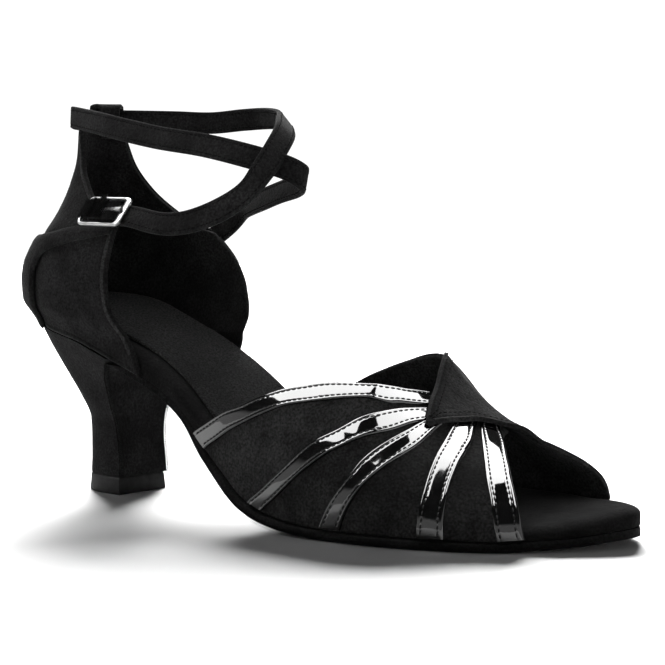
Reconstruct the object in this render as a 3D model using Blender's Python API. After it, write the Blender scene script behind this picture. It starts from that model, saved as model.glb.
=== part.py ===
"""Ballroom dance sandal for the right foot: open toe, closed heel cup, crossed ankle strap.

The shoe stands on the floor at z = 0 with its toe along +X and its inner (medial) side along +Y.
The origin is the middle of the heel tip's underside. Lengths are in metres.
"""

import math

import bmesh
import bpy
import numpy as np

MM = 0.001
GAP = 0.3 * MM

# Driving sizes of the last: the form that the shoe is built on.
LAST_LENGTH = 240 * MM
BALL_WIDTH = 77 * MM
SEAT_SETBACK = 26 * MM
SEAT_HEIGHT = 60.5 * MM
TOE_SPRING = 3.2 * MM
INSTEP_HEIGHT = 50 * MM

# Bottom parts.
OUTSOLE_THICKNESS = 2.8 * MM
OUTSOLE_MARGIN = 2.4 * MM
BOARD_THICKNESS = 5.4 * MM
SHANK_THICKNESS = 5.2 * MM
BOARD_EDGE_RADIUS = 3.4 * MM
BOARD_EDGE_SHARE = 0.7
FOOTBED_CANT = 3.2 * MM
SOCK_THICKNESS = 1.2 * MM
SOCK_INSET = 5.0 * MM
SOCK_END = 0.74
SOLE_TURN = 6.0 * MM

# Heel block and its tip.
TIP_THICKNESS = 6.5 * MM
TIP_WIDTH = 25.0 * MM
TIP_LENGTH = 24.0 * MM
TIP_MARGIN = 0.5 * MM
BREAST_LENGTH = 46.0 * MM
BREAST_SHEET = 1.4 * MM
TIP_ROUNDNESS = 2.35
SEAT_ROUNDNESS = 2.70

# Heel cup (quarter), its high back tab and the counter laid round it.
QUARTER_WALL = 2.2 * MM
TAB_TOP = 141 * MM
EAR_TOP = 98 * MM
CUP_BULGE = 8.0 * MM
CUP_FOOT = 11.0 * MM
CUP_SPAN = 0.215
COUNTER_WALL = 2.0 * MM
COUNTER_RIM = 0.4 * MM
BAND_END = 0.9
OVERLAY_GAP = 0.7 * MM

# Vamp, its crossover lapel and the patent strips on its outer side.
VAMP_WALL = 1.4 * MM
VAMP_ROUNDNESS = 2.3
INNER_ROUNDNESS = 3.05
LAPEL_LIFTED = 0.01
LAPEL_LOW = 0.17
STRIP_THICKNESS = 0.8 * MM
STRIP_EDGE = 0.55

# Ankle strap, its loop on the tab, and the buckle.
STRAP_WIDTH = 8.2 * MM
STRAP_THICKNESS = 1.9 * MM
ANKLE_LENGTH = 120 * MM
ANKLE_WIDTH = 60 * MM
STRAP_CORNER = 0.3
TAB_REACH_OUTER = 22.0 * MM
TAB_REACH_INNER = 26.0 * MM
LOOP_THICKNESS = 1.4 * MM
LOOP_START = 5.0 * MM
LOOP_END = 24.0 * MM
LOOP_DROP_OUTSIDE = 5.0 * MM
LOOP_DROP_INSIDE = 7.0 * MM
LOOP_BEND = 1.2 * MM
BUCKLE_WIRE = 1.5 * MM
BUCKLE_LENGTH = 23.0 * MM
BUCKLE_CORNER = 2.2 * MM
BUCKLE_CLEARANCE = 0.4 * MM
PRONG_THICKNESS = 1.2 * MM
PRONG_WIDTH = 1.44 * MM
TAB_THICKNESS = 1.0 * MM
TAB_WIDTH = 6.4 * MM
TAB_LENGTH = 3.4 * MM
TAB_CLOSING = 0.9

# Fits that follow from the sizes above.
CUP_FACE = GAP + QUARTER_WALL
HEEL_MARGIN = CUP_FACE
COUNTER_FACE = QUARTER_WALL + OVERLAY_GAP
BAND_FACE = COUNTER_FACE + COUNTER_WALL + OVERLAY_GAP
STRIP_FACE = VAMP_WALL + GAP
LAPEL_FACE = STRIP_FACE + STRIP_THICKNESS + GAP
STRAP_LEVEL = TAB_TOP

# Edge of the insole board seen from above, as a closed curve down one side and back up the other.
# Columns: share of LAST_LENGTH from the back, outer edge and inner edge as shares of BALL_WIDTH.
OUTLINE = (
    (0.000, 0.000, 0.000),
    (0.010, -0.143, 0.143),
    (0.048, -0.266, 0.266),
    (0.104, -0.318, 0.318),
    (0.192, -0.318, 0.310),
    (0.296, -0.325, 0.290),
    (0.400, -0.390, 0.288),
    (0.504, -0.461, 0.357),
    (0.608, -0.500, 0.442),
    (0.700, -0.494, 0.494),
    (0.783, -0.440, 0.500),
    (0.871, -0.325, 0.468),
    (0.942, -0.156, 0.390),
    (0.983, 0.013, 0.290),
    (1.000, 0.156, 0.156),
)

# Underside of the insole board, from the seat down the shank to the ball and up to the toe.
# Columns: share of LAST_LENGTH, share of SEAT_HEIGHT, share of TOE_SPRING, share of SHANK_THICKNESS.
BOTTOM = (
    (0.000, 1.000, 0.00, 1.0),
    (0.045, 0.969, 0.00, 1.0),
    (0.119, 0.912, 0.00, 1.0),
    (0.158, 0.861, 0.00, 1.0),
    (0.213, 0.780, 0.00, 1.0),
    (0.263, 0.706, 0.00, 1.0),
    (0.321, 0.602, 0.00, 0.9),
    (0.363, 0.502, 0.00, 0.9),
    (0.408, 0.360, 0.00, 1.0),
    (0.458, 0.220, 0.00, 0.9),
    (0.504, 0.100, 0.00, 0.6),
    (0.550, 0.040, 0.00, 0.3),
    (0.608, 0.008, 0.00, 0.1),
    (0.667, 0.000, 0.00, 0.0),
    (0.880, 0.000, 0.00, 0.0),
    (0.921, 0.000, 0.25, 0.0),
    (0.963, 0.000, 0.55, 0.0),
    (1.000, 0.000, 1.00, 0.0),
)

# Top line of the foot under the vamp.
# Columns: share of LAST_LENGTH, sideways place as a share of BALL_WIDTH, height as a share of INSTEP_HEIGHT.
RIDGE = (
    (0.36, 0.09, 1.30),
    (0.48, 0.11, 1.24),
    (0.60, 0.14, 1.10),
    (0.68, 0.16, 0.945),
    (0.73, 0.17, 0.70),
    (0.79, 0.17, 0.50),
    (0.86, 0.19, 0.37),
    (0.95, 0.22, 0.29),
)


def smooth(keys, values, at):
    """Reads a curve through the values at any place: it never swings past them."""
    keys, values, at = (np.asarray(a, float) for a in (keys, values, at))
    rise = np.diff(values) / np.diff(keys)
    slopes = np.concatenate([rise[:1], np.zeros(len(keys) - 2), rise[-1:]])
    for i in range(1, len(keys) - 1):
        if rise[i - 1] * rise[i] > 0:
            slopes[i] = 2 * rise[i - 1] * rise[i] / (rise[i - 1] + rise[i])
    i = np.clip(np.searchsorted(keys, at, side="right") - 1, 0, len(keys) - 2)
    step = keys[i + 1] - keys[i]
    t = np.clip((at - keys[i]) / step, 0, 1)
    start, end = values[i], values[i + 1]
    return (
        (2 * t**3 - 3 * t**2 + 1) * start
        + (3 * t**2 - 2 * t**3) * end
        + (t**3 - 2 * t**2 + t) * step * slopes[i]
        + (t**3 - t**2) * step * slopes[i + 1]
    )


def column(table, index):
    return [row[index] for row in table]


def spline(points, samples, closed=False, measured=None):
    """Points of a Catmull-Rom curve through the given points, evenly spaced along it."""
    points = np.asarray(points, float)
    count = len(points)
    if closed:
        ring = np.concatenate([points[-1:], points, points[:2]])
    else:
        first, last = 2 * points[0] - points[1], 2 * points[-1] - points[-2]
        ring = np.concatenate([[first], points, [last]])
        count -= 1
    t = np.linspace(0, 1, 24, endpoint=False)[:, None]
    pieces = []
    for i in range(count):
        a, b, c, d = ring[i : i + 4]
        pieces.append(
            0.5 * (2 * b + (c - a) * t + (2 * a - 5 * b + 4 * c - d) * t**2 + (3 * b - a - 3 * c + d) * t**3)
        )
    fine = np.concatenate(pieces + [ring[count + 1 : count + 2]])
    return resample(fine, samples, closed, measured)


def resample(points, samples, closed=False, measured=None):
    """The same line with its points evenly spaced, by the length of its first columns or of all of them."""
    along = np.concatenate([[0], np.cumsum(np.linalg.norm(np.diff(points[:, :measured], axis=0), axis=1))])
    at = np.linspace(0, along[-1], samples, endpoint=not closed)
    return np.stack([np.interp(at, along, points[:, k]) for k in range(points.shape[1])], axis=1)


def place(share):
    """The x of a share of the last's length."""
    return LAST_LENGTH * np.asarray(share, float) - SEAT_SETBACK


def share_of(x):
    return (np.asarray(x, float) + SEAT_SETBACK) / LAST_LENGTH


class Edge:
    """The board's edge seen from above, read by its arc length from the back of the heel."""

    def __init__(self):
        outer = [(place(s), y * BALL_WIDTH) for s, y, _ in OUTLINE]
        inner = [(place(s), y * BALL_WIDTH) for s, _, y in OUTLINE[-2:0:-1]]
        self.points = spline(outer + inner, 960, closed=True)
        ahead, behind = np.roll(self.points, -1, axis=0), np.roll(self.points, 1, axis=0)
        along = ahead - behind
        along /= np.linalg.norm(along, axis=1)[:, None]
        self.normals = np.stack([along[:, 1], -along[:, 0]], axis=1)
        self.length = np.linalg.norm(ahead - self.points, axis=1).sum()
        self.toe = int(np.argmax(self.points[:, 0]))

    def read(self, array, arc):
        """arc is negative down the outer side of the foot and positive down the inner side."""
        at = (-np.asarray(arc, float) / self.length % 1) * len(array)
        low = np.floor(at).astype(int) % len(array)
        t = (at - np.floor(at))[..., None]
        return array[low] * (1 - t) + array[(low + 1) % len(array)] * t

    def point(self, arc):
        return self.read(self.points, arc)

    def normal(self, arc):
        found = self.read(self.normals, arc)
        return found / np.linalg.norm(found, axis=-1, keepdims=True)

    def arc_at(self, x, side):
        """The arc length at which one side (-1 outer, 1 inner) passes x."""
        step = self.length / len(self.points)
        if side < 0:
            return -np.interp(x, self.points[: self.toe, 0], np.arange(self.toe) * step)
        back = np.concatenate([self.points[self.toe :], self.points[:1]])[::-1, 0]
        return np.interp(x, back, np.arange(len(back)) * step)

    def across(self, x, side, margin=0.0):
        """The y of one side at x, moved out by margin."""
        arc = self.arc_at(x, side)
        return self.point(arc)[..., 1] + self.normal(arc)[..., 1] * margin


EDGE = Edge()


def board_bottom(x, y=0.0):
    """Height of the insole board's underside, which is level from side to side."""
    share = share_of(x)
    rise = smooth(column(BOTTOM, 0), column(BOTTOM, 1), share) * SEAT_HEIGHT
    spring = smooth(column(BOTTOM, 0), column(BOTTOM, 2), share) * TOE_SPRING
    return OUTSOLE_THICKNESS + GAP + rise + spring


def board_top(x, y=0.0):
    """Height of its upper face, which is a little higher on the inner side of the foot."""
    thick = BOARD_THICKNESS + SHANK_THICKNESS * smooth(column(BOTTOM, 0), column(BOTTOM, 3), share_of(x))
    return board_bottom(x) + thick + FOOTBED_CANT * np.asarray(y) * 2 / BALL_WIDTH


def mesh_object(name, verts, faces, material, smooth_angle=40):
    """A named object from points and faces, with its faces turned outwards."""
    mesh = bpy.data.meshes.new(name)
    mesh.from_pydata([tuple(v) for v in verts], [], [tuple(f) for f in faces])
    work = bmesh.new()
    work.from_mesh(mesh)
    bmesh.ops.remove_doubles(work, verts=work.verts, dist=1e-6)
    bmesh.ops.dissolve_degenerate(work, edges=work.edges, dist=1e-7)
    bmesh.ops.recalc_face_normals(work, faces=work.faces)
    work.to_mesh(mesh)
    work.free()
    mesh.shade_smooth()
    mesh.set_sharp_from_angle(angle=math.radians(smooth_angle))
    mesh.materials.append(material)
    thing = bpy.data.objects.new(name, mesh)
    bpy.context.scene.collection.objects.link(thing)
    return thing


def grid_faces(rows, cols, start=0, flip=False, wrap=False):
    """Quads between neighbouring points of a grid that is stored row by row."""
    faces = []
    for i in range(rows - 1):
        for j in range(cols if wrap else cols - 1):
            k = (j + 1) % cols
            quad = (
                start + i * cols + j,
                start + i * cols + k,
                start + (i + 1) * cols + k,
                start + (i + 1) * cols + j,
            )
            faces.append(quad[::-1] if flip else quad)
    return faces


def shell(name, outer, inner, material):
    """A closed wall between two grids of the same size."""
    rows, cols = outer.shape[:2]
    count = rows * cols
    verts = np.concatenate([outer.reshape(-1, 3), inner.reshape(-1, 3)])
    faces = grid_faces(rows, cols) + grid_faces(rows, cols, count, flip=True)
    border = (
        [(0, j) for j in range(cols)]
        + [(i, cols - 1) for i in range(1, rows)]
        + [(rows - 1, j) for j in range(cols - 2, -1, -1)]
        + [(i, 0) for i in range(rows - 2, 0, -1)]
    )
    index = [i * cols + j for i, j in border]
    for a, b in zip(index, index[1:] + index[:1]):
        faces.append((a, b, b + count, a + count))
    return mesh_object(name, verts, faces, material)


def loft(name, sections, material, smooth_angle=40):
    """A closed tube through sections with the same number of points, capped at both ends."""
    sections = np.asarray(sections)
    rows, cols = sections.shape[:2]
    faces = grid_faces(rows, cols, wrap=True)
    faces.append(tuple(range(cols))[::-1])
    faces.append(tuple((rows - 1) * cols + j for j in range(cols)))
    return mesh_object(name, sections.reshape(-1, 3), faces, material, smooth_angle)


def stack(x, y, z):
    return np.stack(np.broadcast_arrays(x, y, z), axis=-1).astype(float)


# Bottom parts


def rings_solid(name, rings, material, smooth_angle=40):
    """A closed body from closed rings, stacked from inside one face round the edge to inside the other.

    The first and last rings are closed straight across, each point to the one opposite.
    """
    rings = np.asarray(rings)
    rows, cols = rings.shape[:2]
    faces = grid_faces(rows, cols, wrap=True)
    for start, flip in ((0, True), ((rows - 1) * cols, False)):
        for i in range(cols // 2):
            face = (start + i, start + i + 1, start + cols - i - 1, start + (cols - i) % cols)
            face = tuple(dict.fromkeys(face))
            faces.append(face[::-1] if flip else face)
    return mesh_object(name, rings.reshape(-1, 3), faces, material, smooth_angle)


def edge_ring(arcs, inset, height):
    """A ring moved in from the board's edge, at a height given as a function of x."""
    at = EDGE.point(arcs) - EDGE.normal(arcs) * inset
    return stack(at[:, 0], at[:, 1], height(at[:, 0], at[:, 1]))


# The middle line that a ring shrinks towards, as shares of LAST_LENGTH, and the size of the innermost ring.
SPINE_BACK, SPINE_FRONT = 0.09, 0.91
INNER_RING = 0.5


def spine_of(x):
    """The point on the middle line of the sole that a point near its edge shrinks towards."""
    at = np.clip(x, place(SPINE_BACK), place(SPINE_FRONT))
    middle = (EDGE.across(at, -1) + EDGE.across(at, 1)) / 2
    return at, middle


def shrink(ring, share, height):
    """The ring drawn towards the middle line: share 1 leaves it, and 0 folds it onto the line."""
    middle_x, middle_y = spine_of(ring[:, 0])
    x = middle_x + (ring[:, 0] - middle_x) * share
    y = middle_y + (ring[:, 1] - middle_y) * share
    return stack(x, y, height(x, y))


def board_edge(x, y, fall):
    """Height on the board's rounded edge: fall is 0 on the upper face and 1 where the edge is upright."""
    top = board_top(x, y)
    return top - fall * np.minimum(BOARD_EDGE_RADIUS, BOARD_EDGE_SHARE * (top - board_bottom(x)))


def insole_board(material):
    """The covered board that the foot stands on, with a rounded upper edge."""
    arcs = -np.linspace(0, EDGE.length, 64, endpoint=False)
    lower = edge_ring(arcs, 0, board_bottom)
    rings = [shrink(lower, INNER_RING, board_bottom), lower]
    for degrees in (0, 30, 60, 90):
        turn = math.radians(degrees)
        inset = BOARD_EDGE_RADIUS * (1 - math.cos(turn))
        rings.append(edge_ring(arcs, inset, lambda x, y, fall=1 - math.sin(turn): board_edge(x, y, fall)))
    rings.append(shrink(rings[-1], INNER_RING, board_top))
    return rings_solid("insole_board", rings, material)


def insole_sock(material):
    """The thin pad glued on the board from the heel to under the vamp."""
    front = place(SOCK_END)
    arcs = -np.linspace(0, EDGE.length, 64, endpoint=False)

    def low(x, y):
        return board_top(x, y) + GAP

    def flat(ring, lift):
        """The ring stopped at the pad's front end and laid on the board."""
        x = np.minimum(ring[:, 0], front)
        return stack(x, ring[:, 1], low(x, ring[:, 1]) + lift)

    edge = edge_ring(arcs, SOCK_INSET, low)
    under = [shrink(edge, INNER_RING, low), edge]
    rings = [flat(ring, 0.0) for ring in under] + [flat(ring, SOCK_THICKNESS) for ring in under[::-1]]
    return rings_solid("insole_sock", rings, material)


# Section of the heel by height. Columns: height share from the tip to the seat; the breast's place as a
# share of the way from the tip's front to the seat's front; half width as a share of the way from the tip's
# to the seat's; reach behind the tip's centre as a share of the way from the tip's back to the seat's back.
HEEL = (
    (0.00, 0.00, 0.00, 0.00),
    (0.10, -0.02, -0.02, -0.02),
    (0.25, -0.10, -0.03, -0.03),
    (0.40, -0.17, 0.03, -0.05),
    (0.55, -0.20, 0.19, 0.16),
    (0.70, -0.17, 0.35, 0.51),
    (0.80, 0.00, 0.50, 0.73),
    (0.90, 0.40, 0.72, 0.90),
    (1.00, 1.00, 1.00, 1.00),
)


def heel_sizes(share):
    """The breast's x, the half width and the reach behind the origin, by height share."""
    top_x = BREAST_LENGTH - SEAT_SETBACK
    tip_x = TIP_LENGTH / 2 - TIP_MARGIN
    top_half = (EDGE.across(top_x, 1) - EDGE.across(top_x, -1)) / 2 + HEEL_MARGIN
    tip_half = TIP_WIDTH / 2 - TIP_MARGIN
    keys = column(HEEL, 0)
    front = tip_x + (top_x - tip_x) * smooth(keys, column(HEEL, 1), share)
    half = tip_half + (top_half - tip_half) * smooth(keys, column(HEEL, 2), share)
    back = tip_x + (SEAT_SETBACK + HEEL_MARGIN + COUNTER_WALL - tip_x) * smooth(keys, column(HEEL, 3), share)
    return front, half, back


def heel_height(share, x):
    """Height of the heel's surface: level at the tip, and along the board at the seat."""
    bottom = TIP_THICKNESS + GAP
    top = board_bottom(x) - GAP
    return bottom + (top - bottom) * share


def heel_section(share, round_points=20, flat_points=6):
    """A closed D: flat across the breast, round at the back."""
    front, half, back = heel_sizes(share)
    turn = np.linspace(-math.pi / 2, math.pi / 2, round_points)
    depth = front + back
    power = 2 / (TIP_ROUNDNESS + (SEAT_ROUNDNESS - TIP_ROUNDNESS) * share)
    round_x = front - depth * np.abs(np.cos(turn)) ** power
    round_y = half * np.sign(np.sin(turn)) * np.abs(np.sin(turn)) ** power
    flat_y = np.linspace(half, -half, flat_points + 2)[1:-1]
    x = np.concatenate([round_x, np.full(flat_points, front)])
    y = np.concatenate([round_y, flat_y])
    return x, y


def heel_block(material):
    """The covered heel, hollowed at the back and breast and flared at the tip."""
    sections = []
    for share in (0.0, 0.1, 0.22, 0.35, 0.48, 0.6, 0.71, 0.81, 0.9, 1.0):
        x, y = heel_section(share)
        sections.append(stack(x, y, heel_height(share, x)))
    return loft("heel_block", sections, material)


def heel_tip(material):
    """The hard-wearing piece under the heel, a little wider at the floor."""
    x, y = heel_section(0.0)
    flare = (TIP_WIDTH / 2) / (TIP_WIDTH / 2 - TIP_MARGIN)
    bottom = stack(x * flare, y * flare, 0.0)
    top = stack(x, y, TIP_THICKNESS)
    return loft("heel_tip", [bottom, top], material)


# How far the outsole stands out past the board. Columns: share of LAST_LENGTH, share of OUTSOLE_MARGIN.
WELT = (
    (0.20, -0.30),
    (0.35, -0.20),
    (0.42, 0.95),
    (0.48, 1.40),
    (0.54, 1.35),
    (0.62, 1.00),
    (0.85, 1.00),
    (0.93, 0.45),
    (1.00, 0.00),
)

# The sole's rounded toe starts at this share of LAST_LENGTH, and its first section lies a little inside it.
TOE_ROUND = 0.93
TOE_FIRST = 0.06
# Past this share the sole keeps the slope that the toe spring gives it there.
TOE_LEVEL = 0.98
TOE_SLOPE = 0.1
# Height shares at which the breast's sheet has a section.
BREAST_ROWS = (0.93, 0.86, 0.76, 0.62, 0.48, 0.34, 0.2, 0.08, 0.0)


def outsole(material):
    """The suede sole: one thin sheet from the toe to the heel's breast, then down the breast."""
    sections = []
    toe, shoulder = place(1.0), place(TOE_ROUND)
    breast = BREAST_LENGTH - SEAT_SETBACK + GAP
    curved = toe - (toe - shoulder) * (1 - np.cos(np.linspace(TOE_FIRST, math.pi / 2, 15)))
    straight = np.linspace(shoulder, breast + SOLE_TURN, 34)[1:]
    for x in np.concatenate([curved, straight]):
        margin = OUTSOLE_MARGIN * smooth(column(WELT, 0), column(WELT, 1), share_of(x))
        left = EDGE.across(x, -1, margin)
        right = EDGE.across(x, 1, margin)
        height = board_bottom(x) - GAP
        slope = TOE_SLOPE
        if x < place(TOE_LEVEL):
            slope = (board_bottom(x + MM) - board_bottom(x - MM)) / (2 * MM)
        tilt = math.atan(slope)
        across = np.linspace(left, right, 5)
        low_x = x + OUTSOLE_THICKNESS * math.sin(tilt)
        low_z = height - OUTSOLE_THICKNESS * math.cos(tilt)
        top = stack(x, across, height)
        under = stack(low_x, across[::-1], low_z)
        sections.append(np.concatenate([top, under]))
    for share in BREAST_ROWS:
        front, half, _ = heel_sizes(share)
        inner = front + GAP
        across = np.linspace(-half, half, 5)
        z = heel_height(share, np.full(5, inner))
        back, face = stack(inner, across, z), stack(inner + BREAST_SHEET, across[::-1], z)
        sections.append(np.concatenate([back, face]))
    return loft("outsole", sections, material)


# Heel cup

# How far the cup's outer face stands out from CUP_FACE, as shares of CUP_BULGE.
# Columns: share of the way from SEAT_HEIGHT up to TAB_TOP, at the back, at the sides.
LEAN = (
    (0.00, 0.00, 0.00),
    (0.08, 0.80, 0.36),
    (0.17, 1.02, 0.50),
    (0.25, 1.05, 0.55),
    (0.32, 0.90, 0.50),
    (0.40, 0.42, 0.28),
    (0.47, -0.12, 0.00),
    (0.56, -0.65, -0.60),
    (0.69, -1.15, -1.25),
    (0.82, -1.50, -1.60),
    (1.00, -1.62, -1.72),
)

# Upper edge of the cup. Columns: share of the way from the back to the front edge, then the share of the way
# from EAR_TOP up to TAB_TOP on the outer and on the inner side.
TOPLINE = (
    (0.00, 1.00, 1.00),
    (0.27, 1.00, 1.00),
    (0.35, 0.96, 0.97),
    (0.41, 0.80, 0.83),
    (0.50, 0.58, 0.60),
    (0.62, 0.41, 0.38),
    (0.76, 0.24, 0.19),
    (0.90, 0.11, 0.04),
    (1.00, 0.07, 0.00),
)

# Front edges of the cup. Columns: share of the way up the edge, x of the outer edge and of the inner edge as
# shares of LAST_LENGTH.
CUP_FRONT = (
    (0.00, 0.263, 0.262),
    (0.13, 0.250, 0.272),
    (0.25, 0.230, 0.280),
    (0.40, 0.213, 0.282),
    (0.60, 0.210, 0.272),
    (0.80, 0.212, 0.250),
    (1.00, 0.212, 0.216),
)

# How fast the wall's lean passes from the back's column to the sides', and how fast the front edges curve.
SIDE_POWER = 1.6
FRONT_POWER = 1.5


def cup_point(arc, height, depth):
    """A point of the cup's wall: arc along the board's edge, height from the floor, depth outwards."""
    at, normal = EDGE.point(arc), EDGE.normal(arc)
    side = np.clip(np.abs(normal[..., 1]), 0, 1) ** SIDE_POWER
    share = (np.asarray(height) - SEAT_HEIGHT) / (TAB_TOP - SEAT_HEIGHT)
    share = np.clip(share, 0, 1.1)
    lean = smooth(column(LEAN, 0), column(LEAN, 1), share) * (1 - side)
    lean = lean + smooth(column(LEAN, 0), column(LEAN, 2), share) * side
    above = np.clip((height - board_bottom(at[..., 0])) / CUP_FOOT, 0, 1)
    out = GAP + depth + CUP_BULGE * lean * above * above * (3 - 2 * above)
    return stack(at[..., 0] + normal[..., 0] * out, at[..., 1] + normal[..., 1] * out, height)


def cup_top(along):
    """Height of the cup's upper edge: along runs from -1, the outer front, to 1, the inner front."""
    outer = smooth(column(TOPLINE, 0), column(TOPLINE, 1), np.abs(along))
    inner = smooth(column(TOPLINE, 0), column(TOPLINE, 2), np.abs(along))
    return EAR_TOP + (TAB_TOP - EAR_TOP) * np.where(np.asarray(along) < 0, outer, inner)


def cup_arc(along, up):
    """Arc length of a place on the cup, whose front edges curve."""
    outer = EDGE.arc_at(place(smooth(column(CUP_FRONT, 0), column(CUP_FRONT, 1), up)), -1)
    inner = EDGE.arc_at(place(smooth(column(CUP_FRONT, 0), column(CUP_FRONT, 2), up)), 1)
    reach = np.where(along < 0, outer, inner)
    still = np.where(along < 0, EDGE.arc_at(place(CUP_SPAN), -1), EDGE.arc_at(place(CUP_SPAN), 1))
    return np.abs(along) * (still + (reach - still) * np.abs(along) ** FRONT_POWER)


def cup_grid(along, up, depth):
    """Points of the cup at shares of the way up from the board to its upper edge."""
    arc = cup_arc(along, up)
    foot = board_bottom(EDGE.point(arc)[..., 0]) + GAP
    return cup_point(arc, foot + (cup_top(along) - foot) * up, depth)


def quarter(material):
    """The hollow heel cup with its high back tab, open underneath, above and at both front edges."""
    along, up = np.meshgrid(np.linspace(-1, 1, 41), np.linspace(0, 1, 13), indexing="ij")
    return shell("quarter", cup_grid(along, up, QUARTER_WALL), cup_grid(along, up, 0.0), material)


# Edges of the counter. Columns: share of the way from the back to the front edge, then its lower and its
# upper edge as shares of the way from SEAT_HEIGHT to EAR_TOP.
COUNTER = (
    (0.00, 0.00, 0.98),
    (0.34, 0.00, 0.98),
    (0.40, 0.10, 0.98),
    (0.44, 0.62, 0.99),
    (0.50, 0.80, 1.00),
    (0.70, 0.90, 1.06),
    (1.00, 0.98, 1.09),
)

# Where the counter's lower edge steps up, as shares of the way forward, and how far up the cup's front edge
# the band's end follows it.
STEP_START, STEP_END = 0.335, 0.475
BAND_HEIGHT = 0.9


def counter(material):
    """The overlay round the back of the cup, with a band forward to each ear."""
    step = np.linspace(STEP_START, STEP_END, 11)
    columns = np.sort(np.concatenate([np.linspace(-1, BAND_END, 36), step, -step]))
    along, up = np.meshgrid(columns, np.linspace(0, 1, 6), indexing="ij")
    keys = column(COUNTER, 0)
    low = smooth(keys, column(COUNTER, 1), np.abs(along))
    high = smooth(keys, column(COUNTER, 2), np.abs(along))
    top = SEAT_HEIGHT + (EAR_TOP - SEAT_HEIGHT) * high
    top = np.minimum(top, cup_top(along) - COUNTER_RIM)
    still = cup_arc(along, np.full_like(along, BAND_HEIGHT))
    foot = board_bottom(EDGE.point(still)[..., 0]) + GAP
    bottom = np.maximum(foot, SEAT_HEIGHT + (EAR_TOP - SEAT_HEIGHT) * low)
    height = bottom + (top - bottom) * up
    inner = cup_point(still, height, COUNTER_FACE)
    outer = cup_point(still, height, COUNTER_FACE + COUNTER_WALL)
    return shell("counter", outer, inner, material)


# Vamp

# Back and front edges of its outer half. Columns: place across the foot, from -1 at the outer sole through 0
# at the ridge to 1 at the inner sole, then the two edges' x as shares of LAST_LENGTH.
OUTER_HALF = (
    (-1.00, 0.392, 0.914),
    (-0.89, 0.444, 0.909),
    (-0.80, 0.480, 0.904),
    (-0.71, 0.515, 0.899),
    (-0.60, 0.562, 0.892),
    (-0.51, 0.611, 0.882),
    (-0.41, 0.670, 0.870),
    (-0.30, 0.704, 0.854),
    (-0.16, 0.724, 0.829),
    (-0.04, 0.736, 0.808),
    (0.00, 0.740, 0.803),
)

# The same for the inner half, whose lapel crosses over the outer half.
INNER_HALF = (
    (-0.355, 0.754, 0.759),
    (-0.302, 0.747, 0.764),
    (-0.242, 0.738, 0.771),
    (-0.177, 0.729, 0.779),
    (-0.115, 0.719, 0.785),
    (-0.074, 0.711, 0.793),
    (-0.033, 0.703, 0.805),
    (0.000, 0.696, 0.816),
    (0.100, 0.682, 0.832),
    (0.200, 0.668, 0.844),
    (0.280, 0.648, 0.857),
    (0.450, 0.598, 0.882),
    (0.730, 0.512, 0.904),
    (1.000, 0.430, 0.914),
)

# Between these places across the foot the vamp turns from its outer side's section to its fuller inner one.
FULLER_START, FULLER_END = 0.3, 0.9


def vamp_point(x, across, depth):
    """A point of the vamp: across runs from -1 at the outer sole to 1 at the inner sole, depth outwards."""
    x, across = np.asarray(x, float), np.asarray(across, float)
    share = share_of(x)
    ridge_y = smooth(column(RIDGE, 0), column(RIDGE, 1), share) * BALL_WIDTH
    ridge_z = board_top(x) + smooth(column(RIDGE, 0), column(RIDGE, 2), share) * INSTEP_HEIGHT + depth
    foot_z = board_bottom(x) + GAP
    out = GAP + depth
    edge_y = np.where(across < 0, EDGE.across(x, -1, out), EDGE.across(x, 1, out))
    turn = np.clip(1 - np.abs(across), 0, 1) * math.pi / 2
    full = np.clip((across - FULLER_START) / (FULLER_END - FULLER_START), 0, 1)
    power = 2 / (VAMP_ROUNDNESS + (INNER_ROUNDNESS - VAMP_ROUNDNESS) * full * full * (3 - 2 * full))
    y = ridge_y + (edge_y - ridge_y) * np.cos(turn) ** power
    z = foot_z + (ridge_z - foot_z) * np.sin(turn) ** power
    return stack(x, y, z)


def half_grid(table, across, along):
    """x of a place on one half of the vamp: along runs from 0 at its back edge to 1 at its front edge."""
    back = place(smooth(column(table, 0), column(table, 1), across))
    front = place(smooth(column(table, 0), column(table, 2), across))
    return back + (front - back) * along


def lapel_lift(across):
    """How far the inner half stands off the last where it crosses over the outer half."""
    t = np.clip((LAPEL_LOW - across) / (LAPEL_LOW - LAPEL_LIFTED), 0, 1)
    return LAPEL_FACE * t * t * (3 - 2 * t)


def vamp_outer(material):
    """The hollow outer half of the front upper, open at the throat, at the toe and underneath."""
    first, last = OUTER_HALF[0][0], OUTER_HALF[-1][0]
    across, along = np.meshgrid(np.linspace(first, last, 23), np.linspace(0, 1, 13), indexing="ij")
    x = half_grid(OUTER_HALF, across, along)
    return shell("vamp_outer", vamp_point(x, across, VAMP_WALL), vamp_point(x, across, 0.0), material)


def vamp_inner(material):
    """The inner half, with the pointed lapel that crosses over."""
    first, last = INNER_HALF[0][0], INNER_HALF[-1][0]
    across, along = np.meshgrid(np.linspace(first, last, 27), np.linspace(0, 1, 11), indexing="ij")
    x = half_grid(INNER_HALF, across, along)
    lift = lapel_lift(across)
    outer = vamp_point(x, across, VAMP_WALL + lift)
    return shell("vamp_inner", outer, vamp_point(x, across, lift), material)


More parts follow.
